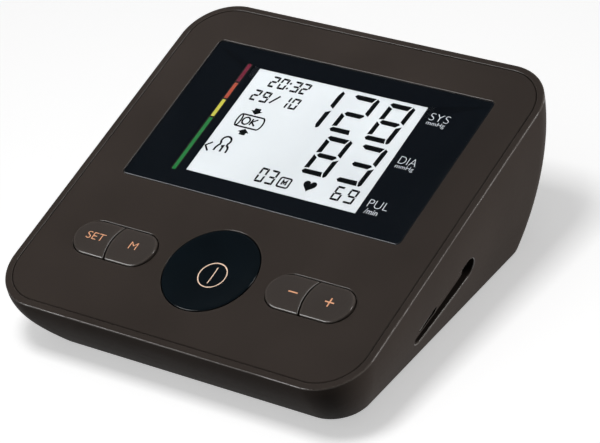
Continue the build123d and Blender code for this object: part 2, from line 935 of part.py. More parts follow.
def sensor_y():
    return -body_depth / 2 + sensor_place() * cos(tilt)


def upright_barb_length():
    # The valve hangs over the cross, and their two barbs share the height between them.
    valve_under = board_underside(cross_y()) - valve_height
    return (valve_under - cuff_z - cross_radius - barb_end_gap) / 2


def make_air_pump():
    head = along_x(pump_head_x, pump_head_end, pump_y, pump_z, pump_radius)
    nozzle_end = pump_head_x - barb_length
    head += along_x(nozzle_end, pump_head_x, pump_y, cuff_z, barb_radius)
    return head - along_x(nozzle_end, pump_head_x, pump_y, cuff_z, barb_bore_radius)


def make_pump_motor():
    end = pump_head_end + motor_length
    motor = along_x(pump_head_end, end, pump_y, pump_z, motor_radius)
    return motor + along_x(end, end + motor_boss_length, pump_y, pump_z, motor_boss_radius)


def make_pump_saddles():
    saddles = []
    head_x = pump_head_x + saddle_inset
    motor_x = pump_head_end + motor_length - saddle_inset
    for x, radius in ((head_x, pump_radius), (motor_x, motor_radius)):
        saddle = block(x, pump_y + saddle_shift, cover_top, saddle_width, saddle_depth, pump_z - cover_top)
        start = x - saddle_width
        end = x + saddle_width
        saddles.append(saddle - along_x(start, end, pump_y, pump_z, radius + touch_gap))
    return combined(saddles)


def make_air_cross():
    y = cross_y()
    reach = cross_radius + cross_reach
    x = cross_x
    z = cuff_z
    body = Pos(x, y, z) * Box(2 * cross_radius, 2 * cross_radius, 2 * cross_radius)
    body += along_y(y - reach, y + reach, x, z, barb_radius)
    body += along_x(x - reach, x, y, z, barb_radius)
    top = z + cross_radius + upright_barb_length()
    body += upright(x, y, z, top, barb_radius)
    body -= along_y(y - reach, y + reach, x, z, barb_bore_radius)
    body -= along_x(x - reach, x, y, z, barb_bore_radius)
    return body - upright(x, y, z, top, barb_bore_radius)


def valve_end_room():
    # The valve is tilted with the board, so its lower corner hangs beside the end of its tube.
    return tube_radius * tan(tilt) + touch_gap


def make_exhaust_valve():
    y = cross_y()
    valve = under_board(cross_x, cross_place, valve_width, valve_length, valve_height)
    top = board_underside(y) - valve_height / 2
    bottom = board_underside(y) - valve_height - upright_barb_length()
    valve += upright(cross_x, y, bottom, top, barb_radius)
    return valve - upright(cross_x, y, bottom, top, barb_bore_radius)


def make_pressure_sensor():
    y = sensor_y()
    sensor = under_board(cross_x, sensor_place(), sensor_size, sensor_size, sensor_height)
    top = board_underside(y) - sensor_height / 2
    bottom = board_underside(y) - sensor_height - barb_length
    sensor += upright(cross_x, y, bottom, top, barb_radius)
    return sensor - upright(cross_x, y, bottom, top, barb_bore_radius)


def hose(points, outer, inner):
    runs = [(Vector(*b) - Vector(*a)).length for a, b in zip(points, points[1:])]
    if len(points) == 2:
        path = Line(*points)
    else:
        path = FilletPolyline(*points, radius=tube_bend_share * min(runs))
    start = Plane(origin=path @ 0, z_dir=path % 0)
    tube = sweep(start * Circle(outer), path=path)
    if inner:
        tube -= sweep(start * Circle(inner), path=path)
    return tube


def make_tubes():
    y = cross_y()
    x = cross_x
    z = cuff_z
    near = cross_radius + touch_gap
    valve_end = board_underside(y) - valve_height - valve_end_room()
    sensor_end = board_underside(sensor_y()) - sensor_height - valve_end_room()
    elbow_x = cuff_barb_x()
    routes = {
        "pump_tube": [(x, y + near, z), (x, pump_y, z), (pump_head_x - touch_gap, pump_y, z)],
        "cuff_tube": [
            (x - near, y, z),
            (elbow_x, y, z),
            (elbow_x, cuff_y + cuff_socket_radius + touch_gap, z),
        ],
        "valve_tube": [(x, y, z + near), (x, y, valve_end)],
        "sensor_tube": [(x, y - near, z), (x, sensor_y(), z), (x, sensor_y(), sensor_end)],
    }
    return {name: hose(route, tube_radius, tube_bore_radius) for name, route in routes.items()}


def make_pump_leads():
    motor_end = pump_head_end + motor_length
    bend = motor_end + pump_lead_reach
    leads = []
    for side in (-1, 1):
        y = pump_y + side * pump_lead_spacing / 2
        top = board_underside(y) - lead_radius * tan(tilt) - touch_gap
        route = [(motor_end, y, pump_z), (bend, y, pump_z), (bend, y, top)]
        leads.append(hose(route, lead_radius, 0))
    return combined(leads)


def make_battery_leads():
    bend = bay_side + battery_lead_reach
    leads = []
    for side in (-1, 1):
        y = bay_middle + battery_lead_place + side * lead_spacing / 2
        top = board_underside(y) - lead_radius * tan(tilt) - touch_gap
        route = [(bay_side, y, battery_lead_z), (bend, y, battery_lead_z), (bend, y, top)]
        leads.append(hose(route, lead_radius, 0))
    return combined(leads)


nodes = {
    "side_housing": make_side_housing(),
    "front_panel": make_front_panel(),
    "display_window": make_display_window(),
    "window_backing": make_window_backing(),
    "lcd_glass": display_plate(glass_width, glass_height, window_recess, glass_thickness),
    "lcd_backlight": display_plate(
        backlight_width, backlight_height, glass_under, backlight_thickness
    ),
    "display_frame": make_display_frame(),
    "connector_strips": make_connector_strips(),
    "start_key": make_start_key(),
    "set_key": make_pair_key(-1, False),
    "memory_key": make_pair_key(-1, True),
    "minus_key": make_pair_key(1, False),
    "plus_key": make_pair_key(1, True),
    "keypad_sheet": make_keypad_sheet(),
    "main_board": make_main_board(),
    "board_screws": make_board_screws(),
    "processor": make_processor(),
    "board_chips": make_board_chips(),
    "capacitors": make_capacitors(),
    "buzzer": make_buzzer(),
    "bottom_cover": make_bottom_cover(),
    "battery_door": make_battery_door(),
    "contact_springs": make_contact_springs(),
    "contact_plates": make_contact_plates(),
    "housing_screws": make_housing_screws(),
    "socket_plate": make_socket_plate(),
    "power_socket": make_power_socket(),
    "socket_board": make_socket_board(),
    "socket_screws": make_socket_screws(),
    "cuff_socket": make_cuff_socket(),
    "air_pump": make_air_pump(),
    "pump_motor": make_pump_motor(),
    "pump_saddles": make_pump_saddles(),
    "air_cross": make_air_cross(),
    "exhaust_valve": make_exhaust_valve(),
    "pressure_sensor": make_pressure_sensor(),
    "pump_leads": make_pump_leads(),
    "battery_leads": make_battery_leads(),
}
nodes.update(make_tubes())
for index in range(cell_count):
    nodes[f"battery_cell_{index + 1}"] = make_cell(index)
for name, place in foot_places().items():
    nodes[name] = make_foot(place)
for name, x in key_xs().items():
    nodes[f"{name}_dome"] = make_dome(x)

os.makedirs("parts", exist_ok=True)
for name, shape in nodes.items():
    shape.label = name
    export_step(shape, f"parts/{name}.step")
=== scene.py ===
import json
import math
import bmesh
import bpy
import numpy as np
from mathutils import Matrix, Vector

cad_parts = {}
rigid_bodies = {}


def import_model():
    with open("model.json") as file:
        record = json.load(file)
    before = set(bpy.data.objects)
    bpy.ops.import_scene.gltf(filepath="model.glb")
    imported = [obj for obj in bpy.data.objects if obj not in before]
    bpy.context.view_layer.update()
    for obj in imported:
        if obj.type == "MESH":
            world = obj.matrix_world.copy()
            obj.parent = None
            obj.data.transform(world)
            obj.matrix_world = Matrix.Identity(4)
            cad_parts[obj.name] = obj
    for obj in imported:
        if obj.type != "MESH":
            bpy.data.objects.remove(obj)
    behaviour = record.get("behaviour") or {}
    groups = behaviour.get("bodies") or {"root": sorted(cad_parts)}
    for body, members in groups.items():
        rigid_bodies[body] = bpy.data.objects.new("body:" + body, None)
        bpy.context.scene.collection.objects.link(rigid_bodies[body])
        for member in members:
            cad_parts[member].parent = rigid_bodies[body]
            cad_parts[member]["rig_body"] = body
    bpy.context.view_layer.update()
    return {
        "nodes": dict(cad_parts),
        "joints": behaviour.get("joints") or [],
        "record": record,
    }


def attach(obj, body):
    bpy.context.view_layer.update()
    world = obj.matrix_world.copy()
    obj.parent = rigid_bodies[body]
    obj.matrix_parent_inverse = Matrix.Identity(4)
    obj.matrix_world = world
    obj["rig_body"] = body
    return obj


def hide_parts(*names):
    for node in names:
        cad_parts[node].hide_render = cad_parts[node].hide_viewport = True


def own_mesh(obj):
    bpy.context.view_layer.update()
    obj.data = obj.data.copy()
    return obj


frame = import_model()
print("frame loaded with", len(frame["nodes"]), "CAD nodes")

# Lengths are in millimetres until a mesh is made. x runs across the case, y to the back and z up.
# On the sloping face, s is the distance up the slope from the front edge and w the height out of the face.
slope = {"front": -62.5, "height": 20.9, "angle": math.radians(14.55)}
outOfFace = np.array([0.0, -math.sin(slope["angle"]), math.cos(slope["angle"])])


def onFace(x, s, w):
    # y is front + s cos(angle) - w sin(angle), and z is height + s sin(angle) + w cos(angle)
    x, s, w = np.broadcast_arrays(np.asarray(x, float), np.asarray(s, float), np.asarray(w, float))
    cosine, sine = math.cos(slope["angle"]), math.sin(slope["angle"])
    return np.stack([x, slope["front"] + s * cosine - w * sine, slope["height"] + s * sine + w * cosine], -1)


class Wire:
    # One output socket; arithmetic on it adds Math nodes
    def __init__(self, finish, socket):
        self.finish, self.socket = finish, socket

    def math(self, operation, *others):
        return self.finish.add("ShaderNodeMath", {"operation": operation}, dict(enumerate((self,) + others)))

    def __add__(self, other): return self.math("ADD", other)
    def __radd__(self, other): return self.math("ADD", other)
    def __sub__(self, other): return self.math("SUBTRACT", other)
    def __rsub__(self, other): return (self * -1).math("ADD", other)
    def __mul__(self, other): return self.math("MULTIPLY", other)
    def __rmul__(self, other): return self.math("MULTIPLY", other)
    def __gt__(self, other): return self.math("GREATER_THAN", other)
    def __lt__(self, other): return self.math("LESS_THAN", other)


class Finish:
    # A material under construction: add() makes any node, from its settings and its socket values or links
    def __init__(self, name):
        self.material = bpy.data.materials.new(name)
        self.material.use_nodes = True
        self.tree = self.material.node_tree
        self.tree.nodes.clear()

    def add(self, kind, settings=None, values=None, out=0):
        node = self.tree.nodes.new(kind)
        for key, value in (settings or {}).items():
            if key == "stops":
                fillRamp(node.color_ramp, value)
            else:
                setattr(node, key, value)
        for key, value in (values or {}).items():
            if isinstance(value, Wire):
                self.tree.links.new(value.socket, node.inputs[key])
            else:
                node.inputs[key].default_value = value
        return None if out is None else Wire(self, node.outputs[out])

    def place(self, scale=(1, 1, 1), shift=(0, 0, 0)):
        where = self.add("ShaderNodeTexCoord", out="Object")
        return self.add("ShaderNodeMapping", None, {"Vector": where, "Scale": scale, "Location": shift})

    def noise(self, size, detail=3.0, where=None):
        # size is the length of one blotch in millimetres
        values = {"Vector": where or self.place(), "Scale": 1000.0 / size, "Detail": detail}
        return self.add("ShaderNodeTexNoise", None, {**values, "Roughness": 0.55}, "Fac")

    def ramp(self, factor, stops, mode="LINEAR"):
        return self.add("ShaderNodeValToRGB", {"stops": (mode, stops)}, {"Fac": factor}, "Color")

    def blend(self, factor, first, second):
        values = {0: factor, 6: first, 7: second}
        return self.add("ShaderNodeMix", {"data_type": "RGBA"}, values, 2)

    def bump(self, height, depth, strength=1.0):
        # depth is the height of a full step in millimetres
        values = {"Height": height, "Distance": depth / 1000.0, "Strength": strength}
        return self.add("ShaderNodeBump", None, values, "Normal")

    def surface(self, **values):
        named = {key.replace("_", " "): value for key, value in values.items()}
        return self.add("ShaderNodeBsdfPrincipled", None, named)

    def done(self, shader):
        self.add("ShaderNodeOutputMaterial", None, {"Surface": shader}, None)
        return self.material


def fillRamp(ramp, value):
    mode, stops = value
    ramp.interpolation = mode
    while len(ramp.elements) < len(stops):
        ramp.elements.new(1.0)
    for element, (position, colour) in zip(ramp.elements, stops):
        element.position, element.color = position, colour


def rgb(red, green, blue):
    # a screen colour from 0 to 255, made linear
    screen = np.array([red, green, blue]) / 255
    linear = np.where(screen <= 0.04045, screen / 12.92, ((screen + 0.055) / 1.055) ** 2.4)
    return (*linear.tolist(), 1.0)


def toned(colour, factor, lift=0.0):
    # the same colour, darker or lighter
    return tuple(channel * factor + lift for channel in colour[:3]) + (1,)


def mouldedPlastic(name, colour, grain, roughness, depth, specular, coat=0.0, edge=None):
    # Fine spark-eroded grain: two noises, grain and three times grain millimetres across, raise the surface,
    # and a wide one stains it. The tight round edges are smoother and glossier, and their colour is lightened
    # towards edge as a painted highlight; the walls of the gaps are painted near-black as painted shade.
    f = Finish(name)
    fine = f.noise(grain, 2.0)
    coarse = f.noise(grain * 3.1, 3.0)
    wide = f.noise(38.0, 2.0)
    base = f.ramp(wide * 0.75 + fine * 0.25, [(0.36, toned(colour, 0.9)), (0.64, toned(colour, 1.1))])
    rough = coarse * 0.16 + (roughness - 0.08)
    height = fine * 0.7 + coarse * 0.3
    if edge:
        # painted highlight: the round edges are lightened towards edge, and made glossier
        edgeHighlightMask = f.add("ShaderNodeAttribute", {"attribute_name": "roundEdge"}, None, "Fac")
        base = f.blend(edgeHighlightMask * 0.6, base, edge)
        rough = rough - edgeHighlightMask * 0.2
        coat = edgeHighlightMask * 0.9 + coat
        height = height * (1 - edgeHighlightMask * 0.85)
        # the walls of the gaps are painted near-black: painted shade
        gapShade = f.add("ShaderNodeAttribute", {"attribute_name": "gapWall"}, None, "Fac")
        base = f.blend(gapShade * 0.85, base, (0.002, 0.002, 0.002, 1))
    shade = f.surface(
        Base_Color=base, Roughness=rough, Specular_IOR_Level=specular, Normal=f.bump(height, depth),
        Coat_Weight=coat, Coat_Roughness=0.13,
    )
    return f.done(shade)


def glossPlastic(name, colour, roughness, specular):
    # A polished moulding: nearly flat, with a faint sink ripple and fine wipe marks in its gloss
    f = Finish(name)
    wide = f.noise(9.0, 2.0)
    wipe = f.noise(1.2, 4.0, where=f.place(scale=(1, 0.15, 1)))
    tint = f.ramp(wide, [(0.3, colour), (0.7, toned(colour, 1.25))])
    rough = wipe * 0.06 + roughness
    normal = f.bump(wide, 0.004, 0.5)
    return f.done(f.surface(Base_Color=tint, Roughness=rough, Normal=normal, Specular_IOR_Level=specular))


def clearSheet(name):
    # A clear hard-coated sheet: it mirrors 0.03 of the light and 0.9 more at a glancing angle, by the fifth
    # power, and lets the rest straight through; its cut edges are frosted
    f = Finish(name)
    facing = f.add("ShaderNodeLayerWeight", None, {"Blend": 0.5}, "Facing")
    cut = f.add("ShaderNodeAttribute", {"attribute_name": "roundEdge"}, None, "Fac")
    mirrored = facing.math("POWER", 5.0) * 0.9 + cut * 0.1 + 0.03
    haze = f.noise(6.0, 3.0) * 0.02 + cut * 0.4 + 0.02
    gloss = f.surface(Base_Color=(0.95, 0.97, 1, 1), Metallic=1.0, Roughness=haze)
    clear = f.add("ShaderNodeBsdfTransparent", None, {"Color": (0.97, 0.98, 0.985, 1)})
    return f.done(f.add("ShaderNodeMixShader", None, {0: mirrored, 1: clear, 2: gloss}))


def printedInk(name, colour, roughness, metallic=0.0, glow=0.0, specular=0.3):
    # Screen-printed ink: slightly uneven in tone and gloss; glow is painted light that keeps it readable in
    # shade
    f = Finish(name)
    speck = f.noise(0.35, 3.0)
    base = f.ramp(speck, [(0.3, toned(colour, 0.9)), (0.7, colour)])
    rough = speck * 0.15 + (roughness - 0.07)
    shade = f.surface(
        Base_Color=base, Roughness=rough, Metallic=metallic, Specular_IOR_Level=specular,
        Emission_Color=colour, Emission_Strength=glow,
    )
    return f.done(shade)


def displayFace(name):
    # A reflective display: cool white in wide, faint clouds, with the polariser's fine grain; its faint glow
    # is painted light that lifts the white
    f = Finish(name)
    grain = f.noise(0.22, 2.0)
    wide = f.noise(26.0, 1.0)
    base = f.ramp(wide * 0.8 + grain * 0.2, [(0.3, rgb(194, 195, 196)), (0.7, rgb(204, 205, 206))])
    shade = f.surface(
        Base_Color=base, Roughness=grain * 0.1 + 0.5, Specular_IOR_Level=0.1,
        Emission_Color=(0.9, 0.95, 1, 1), Emission_Strength=0.06,
    )
    return f.done(shade)


def softRubber(name, colour, roughness):
    # Matt rubber with a dusty bloom and shallow pores
    f = Finish(name)
    bloom = f.noise(2.6, 4.0)
    pores = f.noise(0.3, 2.0)
    base = f.ramp(bloom, [(0.3, colour), (0.75, toned(colour, 1.35, 0.004))])
    rough = bloom * 0.2 + (roughness - 0.1)
    return f.done(f.surface(Base_Color=base, Roughness=rough, Normal=f.bump(pores, 0.02, 0.6)))


def drawnMetal(name, colour, roughness, stretch=(1, 1, 14), metallic=1.0):
    # Plated or drawn metal: hairlines along one axis, and cloudy patches in its shine
    f = Finish(name)
    lines = f.noise(0.5, 4.0, where=f.place(scale=stretch))
    cloud = f.noise(4.0, 3.0)
    base = f.ramp(cloud * 0.5 + lines * 0.5, [(0.3, toned(colour, 0.82)), (0.7, colour)])
    rough = lines * 0.18 + cloud * 0.1 + (roughness - 0.14)
    normal = f.bump(lines, 0.006, 0.5)
    return f.done(f.surface(Base_Color=base, Metallic=metallic, Roughness=rough, Normal=normal))


def circuitBoard(name):
    # Green solder mask over copper: tracks are thin bands of a cell pattern, and pads are its cell centres
    f = Finish(name)
    cells = {"Vector": f.place(scale=(1, 1, 0.3)), "Scale": 240.0}
    track = f.add("ShaderNodeTexVoronoi", {"feature": "DISTANCE_TO_EDGE"}, cells, "Distance") < 0.06
    pad = f.add("ShaderNodeTexVoronoi", None, cells, "Distance") < 0.16
    mask = f.ramp(f.noise(7.0, 2.0), [(0.3, (0.008, 0.075, 0.03, 1)), (0.7, (0.012, 0.1, 0.042, 1))])
    traced = f.blend(track, mask, (0.03, 0.2, 0.07, 1))
    base = f.blend(pad, traced, (0.75, 0.7, 0.6, 1))
    normal = f.bump(track * 0.6 + pad, 0.04, 0.5)
    return f.done(f.surface(Base_Color=base, Metallic=pad * 0.9, Roughness=0.42 - pad * 0.12, Normal=normal))


def stripedElastomer(name):
    # Conductive rubber: black carbon layers in white silicone, a fifth of a millimetre apart
    f = Finish(name)
    across = f.add("ShaderNodeSeparateXYZ", None, {"Vector": f.place()}, "X")
    band = (across * 5000.0).math("FRACT") > 0.5
    base = f.blend(band, (0.72, 0.7, 0.68, 1), (0.02, 0.02, 0.022, 1))
    return f.done(f.surface(Base_Color=base, Roughness=f.noise(0.6) * 0.2 + 0.5))


def cellSleeve(name):
    # A plain shrink sleeve with a gold band near each end, and bare ends; fromMiddle is in metres
    f = Finish(name)
    speck = f.noise(0.8, 3.0)
    base = f.ramp(speck, [(0.3, (0.03, 0.07, 0.2, 1)), (0.7, (0.045, 0.1, 0.27, 1))])
    along = f.add("ShaderNodeSeparateXYZ", None, {"Vector": f.place()}, "Y")
    fromMiddle = (along - 0.001).math("ABSOLUTE")
    band = (fromMiddle > 0.0195) * (fromMiddle < 0.0225)
    bare = fromMiddle > 0.0239
    tone = f.blend(bare, f.blend(band, base, (0.6, 0.42, 0.16, 1)), (0.62, 0.62, 0.6, 1))
    metal = band.math("MAXIMUM", bare) * 0.9
    return f.done(f.surface(Base_Color=tone, Metallic=metal, Roughness=speck * 0.12 + 0.24, Coat_Weight=0.3))


def milkyTube(name):
    # Milky silicone hose in cloudy tones, with a soft gloss
    f = Finish(name)
    cloud = f.noise(1.6, 3.0)
    base = f.ramp(cloud, [(0.3, (0.62, 0.61, 0.57, 1)), (0.7, (0.72, 0.71, 0.68, 1))])
    return f.done(f.surface(Base_Color=base, Roughness=cloud * 0.15 + 0.3, Coat_Weight=0.15))


def riskColours(name, marks):
    # Printed bands up the slope, with thin black gaps; the place up the slope is y cos(angle) + z sin(angle)
    f = Finish(name)
    where = f.place(shift=(0, -slope["front"] / 1000, -slope["height"] / 1000))
    axes = [f.add("ShaderNodeSeparateXYZ", None, {"Vector": where}, axis) for axis in ("Y", "Z")]
    place = axes[0] * math.cos(slope["angle"]) + axes[1] * math.sin(slope["angle"])
    low, high = marks[0][0], marks[-1][1]
    share = (place * 1000.0 - low).math("DIVIDE", high - low)
    gapColour = (0.004, 0.006, 0.01, 1)
    stops = []
    for start, end, colour in marks:
        stops += [((start - low) / (high - low), colour), ((end - low) / (high - low), gapColour)]
    base = f.ramp(share, stops[:-1], "CONSTANT")
    return f.done(f.surface(Base_Color=base, Roughness=f.noise(0.4) * 0.1 + 0.4))


# edge is a paler brown that the round edges are lightened towards, as a painted highlight
brown = {"case": rgb(42, 37, 34), "key": rgb(46, 41, 38), "edge": rgb(62, 57, 53)}
finishes = {
    "housing": mouldedPlastic(
        "housingPlastic", brown["case"], grain=0.34, roughness=0.5, depth=0.012, specular=0.01, coat=0.012,
        edge=brown["edge"],
    ),
    "window": clearSheet("windowSheet"),
    "black_print": printedInk("windowPrint", rgb(6, 11, 17), roughness=0.55, specular=0.05),
    "lcd_glass": displayFace("displayFace"),
    "white_plastic": mouldedPlastic(
        "whitePlastic", rgb(222, 221, 216), grain=0.5, roughness=0.5, depth=0.02, specular=0.4
    ),
    "elastomer": stripedElastomer("stripedElastomer"),
    "gloss_key": glossPlastic("startKeyGloss", rgb(4, 9, 13), roughness=0.1, specular=0.4),
    "key_plastic": mouldedPlastic(
        "keyPlastic", brown["key"], grain=0.3, roughness=0.42, depth=0.01, specular=0.16, coat=0.03,
        edge=brown["edge"],
    ),
    "silicone": softRubber("paleSilicone", rgb(196, 194, 186), roughness=0.6),
    "board": circuitBoard("circuitBoard"),
    "chip": mouldedPlastic(
        "chipResin", rgb(30, 30, 31), grain=0.2, roughness=0.6, depth=0.02, specular=0.3
    ),
    "steel": drawnMetal("platedSteel", rgb(206, 205, 200), roughness=0.3),
    "motor_metal": drawnMetal("drawnCan", rgb(198, 196, 190), roughness=0.34, stretch=(14, 1, 1)),
    "pump_plastic": mouldedPlastic(
        "pumpPlastic", rgb(58, 58, 60), grain=0.4, roughness=0.5, depth=0.02, specular=0.3
    ),
    "air_tube": milkyTube("milkyTube"),
    "cell": cellSleeve("cellSleeve"),
    "foot_rubber": softRubber("footRubber", rgb(30, 29, 28), roughness=0.72),
    "lead": softRubber("redLead", rgb(150, 26, 20), roughness=0.45),
}
darkShell = drawnMetal("darkShell", rgb(112, 109, 105), roughness=0.42, stretch=(14, 1, 1), metallic=0.8)
# the glow of these inks is painted light
inks = {
    "copper": printedInk("copperInk", rgb(208, 150, 114), roughness=0.42, metallic=0.2, glow=0.03),
    "paleCopper": printedInk("paleCopperInk", rgb(204, 176, 154), roughness=0.42, metallic=0.1, glow=0.06),
    "pale": printedInk("paleInk", rgb(196, 200, 206), roughness=0.5, glow=0.04),
    "display": printedInk("displayInk", rgb(4, 6, 9), roughness=0.65, specular=0.02),
}

slots = {part["node"]: part["material_slot"] for part in frame["record"]["subparts"]}
for node, slot in slots.items():
    data = frame["nodes"][node].data
    data.materials.clear()
    data.materials.append(finishes[slot])
frame["nodes"]["power_socket"].data.materials[0] = darkShell
print("materials made:", len(finishes) + len(inks) + 1)


def readAll(items, name, each=1, kind=float):
    # the named value of every item in one array, with each numbers to a row
    values = np.empty(len(items) * each, kind)
    items.foreach_get(name, values)
    return values.reshape(-1, each) if each > 1 else values


# how close two points have to be, in metres, to become one
joinWithin = {"own": 2e-7, "cad": 1e-6}


def meshPiece(name, points, faces, finish, body, slot, smooth=None):
    # points in millimetres; smooth is the sharpest angle, in degrees, that still shades as one surface
    mesh = bpy.data.meshes.new(name)
    mesh.from_pydata((np.asarray(points) / 1000.0).tolist(), [], [list(map(int, face)) for face in faces])
    joined = bmesh.new()
    joined.from_mesh(mesh)
    bmesh.ops.remove_doubles(joined, verts=joined.verts, dist=joinWithin["own"])
    shadeByAngle(joined, smooth)
    joined.to_mesh(mesh)
    joined.free()
    mesh.validate()
    markEdges(mesh)
    mesh.materials.append(finish)
    piece = bpy.data.objects.new(name, mesh)
    bpy.context.scene.collection.objects.link(piece)
    if smooth:
        evenShade(piece)
    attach(piece, body)
    return piece


def shadeByAngle(joined, limit):
    for face in joined.faces:
        face.smooth = limit is not None
    for edge in joined.edges:
        sharp = len(edge.link_faces) != 2 or edge.calc_face_angle(0.0) > math.radians(limit or 0)
        edge.smooth = not sharp


# bends in radians per millimetre, lengths in millimetres
edgeLimits = {"bendFrom": 0.25, "bendSpan": 0.35, "widest": 0.42, "nearest": 0.02}


def markEdges(mesh, edgeHighlightShare=1.0):
    # roundEdge is 1 along the middle of a tight outward curve and fades to 0 at its sides. A narrow face
    # counts by how much it turns from a neighbour in a millimetre: the angle between the two over the
    # distance of their middles, across their shared edge. A point takes the least of the faces round it.
    # A face's width is its area over its longest side, twice that for a triangle.
    count = len(mesh.polygons)
    normal, middle = readAll(mesh.polygons, "normal", 3), readAll(mesh.polygons, "center", 3) * 1000
    place = readAll(mesh.vertices, "co", 3) * 1000
    allEnds = readAll(mesh.edges, "vertices", 2, int)
    loops, corners = readAll(mesh.loops, "edge_index", 1, int), readAll(mesh.loops, "vertex_index", 1, int)
    sizes = readAll(mesh.polygons, "loop_total", 1, int)
    owner = np.repeat(np.arange(count), sizes)
    order = np.argsort(loops, kind="stable")
    edges, neighbours = loops[order], owner[order]
    first = np.flatnonzero(edges[1:] == edges[:-1])
    one, two, ends = neighbours[first], neighbours[first + 1], allEnds[edges[first]]
    along = place[ends[:, 1]] - place[ends[:, 0]]
    along /= np.maximum(np.linalg.norm(along, axis=1, keepdims=True), 1e-9)
    apart = middle[two] - middle[one]
    outward = np.sum(apart * normal[one], axis=1) < 0
    apart -= np.sum(apart * along, axis=1, keepdims=True) * along
    turn = np.arccos(np.clip(np.sum(normal[one] * normal[two], axis=1), -1, 1))
    distance = np.maximum(np.linalg.norm(apart, axis=1), edgeLimits["nearest"])
    bend = np.where(outward, turn / distance, 0)
    most = np.zeros(count)
    np.maximum.at(most, one, bend)
    np.maximum.at(most, two, bend)
    length = np.linalg.norm(place[allEnds[:, 1]] - place[allEnds[:, 0]], axis=1)
    longest = np.zeros(count)
    np.maximum.at(longest, owner, length[loops])
    width = readAll(mesh.polygons, "area") * 1e6 / np.maximum(longest, 1e-6) * np.where(sizes == 3, 2, 1)
    # finishes that read roundEdge make these edges glossier, and mouldedPlastic also lightens them as a
    # painted highlight
    edgeHighlightMask = np.clip((most - edgeLimits["bendFrom"]) / edgeLimits["bendSpan"], 0, 1)
    edgeHighlightMask *= width < edgeLimits["widest"]
    least = np.full(len(mesh.vertices), edgeHighlightShare)
    np.minimum.at(least, corners, edgeHighlightMask[owner] * edgeHighlightShare)
    mesh.attributes.new("roundEdge", "FLOAT", "POINT").data.foreach_set("value", least.astype(np.float32))


def markWalls(mesh, mostOut=0.3):
    # gapWall is 1 on the faces that stand square to the sloping face, where their normal goes out of it by
    # less than mostOut: they only show in its gaps, and are painted dark there as painted shade
    out = np.abs(readAll(mesh.polygons, "normal", 3) @ outOfFace)
    wall = (out < mostOut).astype(np.float32)
    mesh.attributes.new("gapWall", "FLOAT", "FACE").data.foreach_set("value", wall)


def evenShade(piece):
    # large faces keep their own direction, and the small round faces beside them turn between
    weigh = piece.modifiers.new("evenShade", "WEIGHTED_NORMAL")
    weigh.mode, weigh.weight, weigh.keep_sharp = "FACE_AREA_WITH_ANGLE", 50, True


def gridFaces(rows, columns, around=True):
    # quads between neighbouring rows of a grid, closed round its columns when around is set
    i, j = np.meshgrid(np.arange(rows - 1), np.arange(columns if around else columns - 1), indexing="ij")
    k = (j + 1) % columns
    quads = np.stack([i * columns + j, i * columns + k, (i + 1) * columns + k, (i + 1) * columns + j], -1)
    return quads.reshape(-1, 4).tolist()


def closedRings(rings):
    # rings are outlines stacked from an inner bottom ring to an inner top ring; both ends close on their
    # middles
    rows, columns = rings.shape[:2]
    points = np.concatenate([rings.reshape(-1, 3), rings[:1].mean(1), rings[-1:].mean(1)])
    faces = gridFaces(rows, columns)
    j = np.arange(columns)
    k = (j + 1) % columns
    low, high = rows * columns, rows * columns + 1
    last = (rows - 1) * columns
    faces += np.stack([k, j, np.full(columns, low)], -1).tolist()
    faces += np.stack([last + j, last + k, np.full(columns, high)], -1).tolist()
    return points, faces


def evenly(points, count):
    # the closed outline again, with its points evenly spaced along it
    loop = np.vstack([points, points[:1]])
    reach = np.concatenate([[0], np.cumsum(np.linalg.norm(np.diff(loop, axis=0), axis=1))])
    wanted = np.linspace(0, reach[-1], count, endpoint=False)
    return np.stack([np.interp(wanted, reach, loop[:, axis]) for axis in (0, 1)], -1)


def softened(points, reach):
    # each point becomes the mean of its neighbours along the outline, which rounds sharp corners
    half = max(1, int(reach / np.linalg.norm(points[1] - points[0]) / 2))
    return np.stack([np.roll(points, shift, axis=0) for shift in range(-half, half + 1)]).mean(0)


def inset(points, distance):
    # each point moves along the outline's inward normal; the outline runs anticlockwise
    along = np.roll(points, -1, axis=0) - np.roll(points, 1, axis=0)
    along = along / np.linalg.norm(along, axis=1, keepdims=True)
    return points + distance * np.stack([-along[:, 1], along[:, 0]], -1)


# angles in degrees: steeper edges than crease shade as sharp ones. Before a bevel, flatter edges than plain
# go, and then those steeper than sharp are rounded in a few segments.
smoothing = {"crease": 32.0, "plain": 0.5, "sharp": 40.0, "segments": 3}


def roundSharp(joined, bevel, select):
    plain, sharpest = math.radians(smoothing["plain"]), math.radians(smoothing["sharp"])
    bmesh.ops.dissolve_limit(joined, angle_limit=plain, verts=joined.verts, edges=joined.edges)
    sharp = [edge for edge in joined.edges if len(edge.link_faces) == 2 and edge.calc_face_angle() > sharpest]
    if select:
        sharp = [edge for edge in sharp if all(select(*vertex.co) for vertex in edge.verts)]
    bmesh.ops.bevel(
        joined, geom=sharp, offset=bevel / 1000.0, segments=smoothing["segments"], profile=0.5,
        affect="EDGES", clamp_overlap=False,
    )


def smoothCopy(node, bevel=0.0, edgeHighlightShare=1.0, select=None):
    # the CAD piece with its triangles joined and its gentle edges shaded smooth; bevel rounds its sharp edges
    mesh = frame["nodes"][node].data.copy()
    mesh.name = node + "Smooth"
    joined = bmesh.new()
    joined.from_mesh(mesh)
    bmesh.ops.remove_doubles(joined, verts=joined.verts, dist=joinWithin["cad"])
    if bevel:
        roundSharp(joined, bevel, select)
    shadeByAngle(joined, smoothing["crease"])
    joined.to_mesh(mesh)
    joined.free()
    markEdges(mesh, edgeHighlightShare)
    if node == "front_panel":
        markWalls(mesh)
    piece = bpy.data.objects.new(node + "Smooth", mesh)
    bpy.context.scene.collection.objects.link(piece)
    evenShade(piece)
    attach(piece, frame["nodes"][node]["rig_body"])
    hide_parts(node)
    return piece


# Case

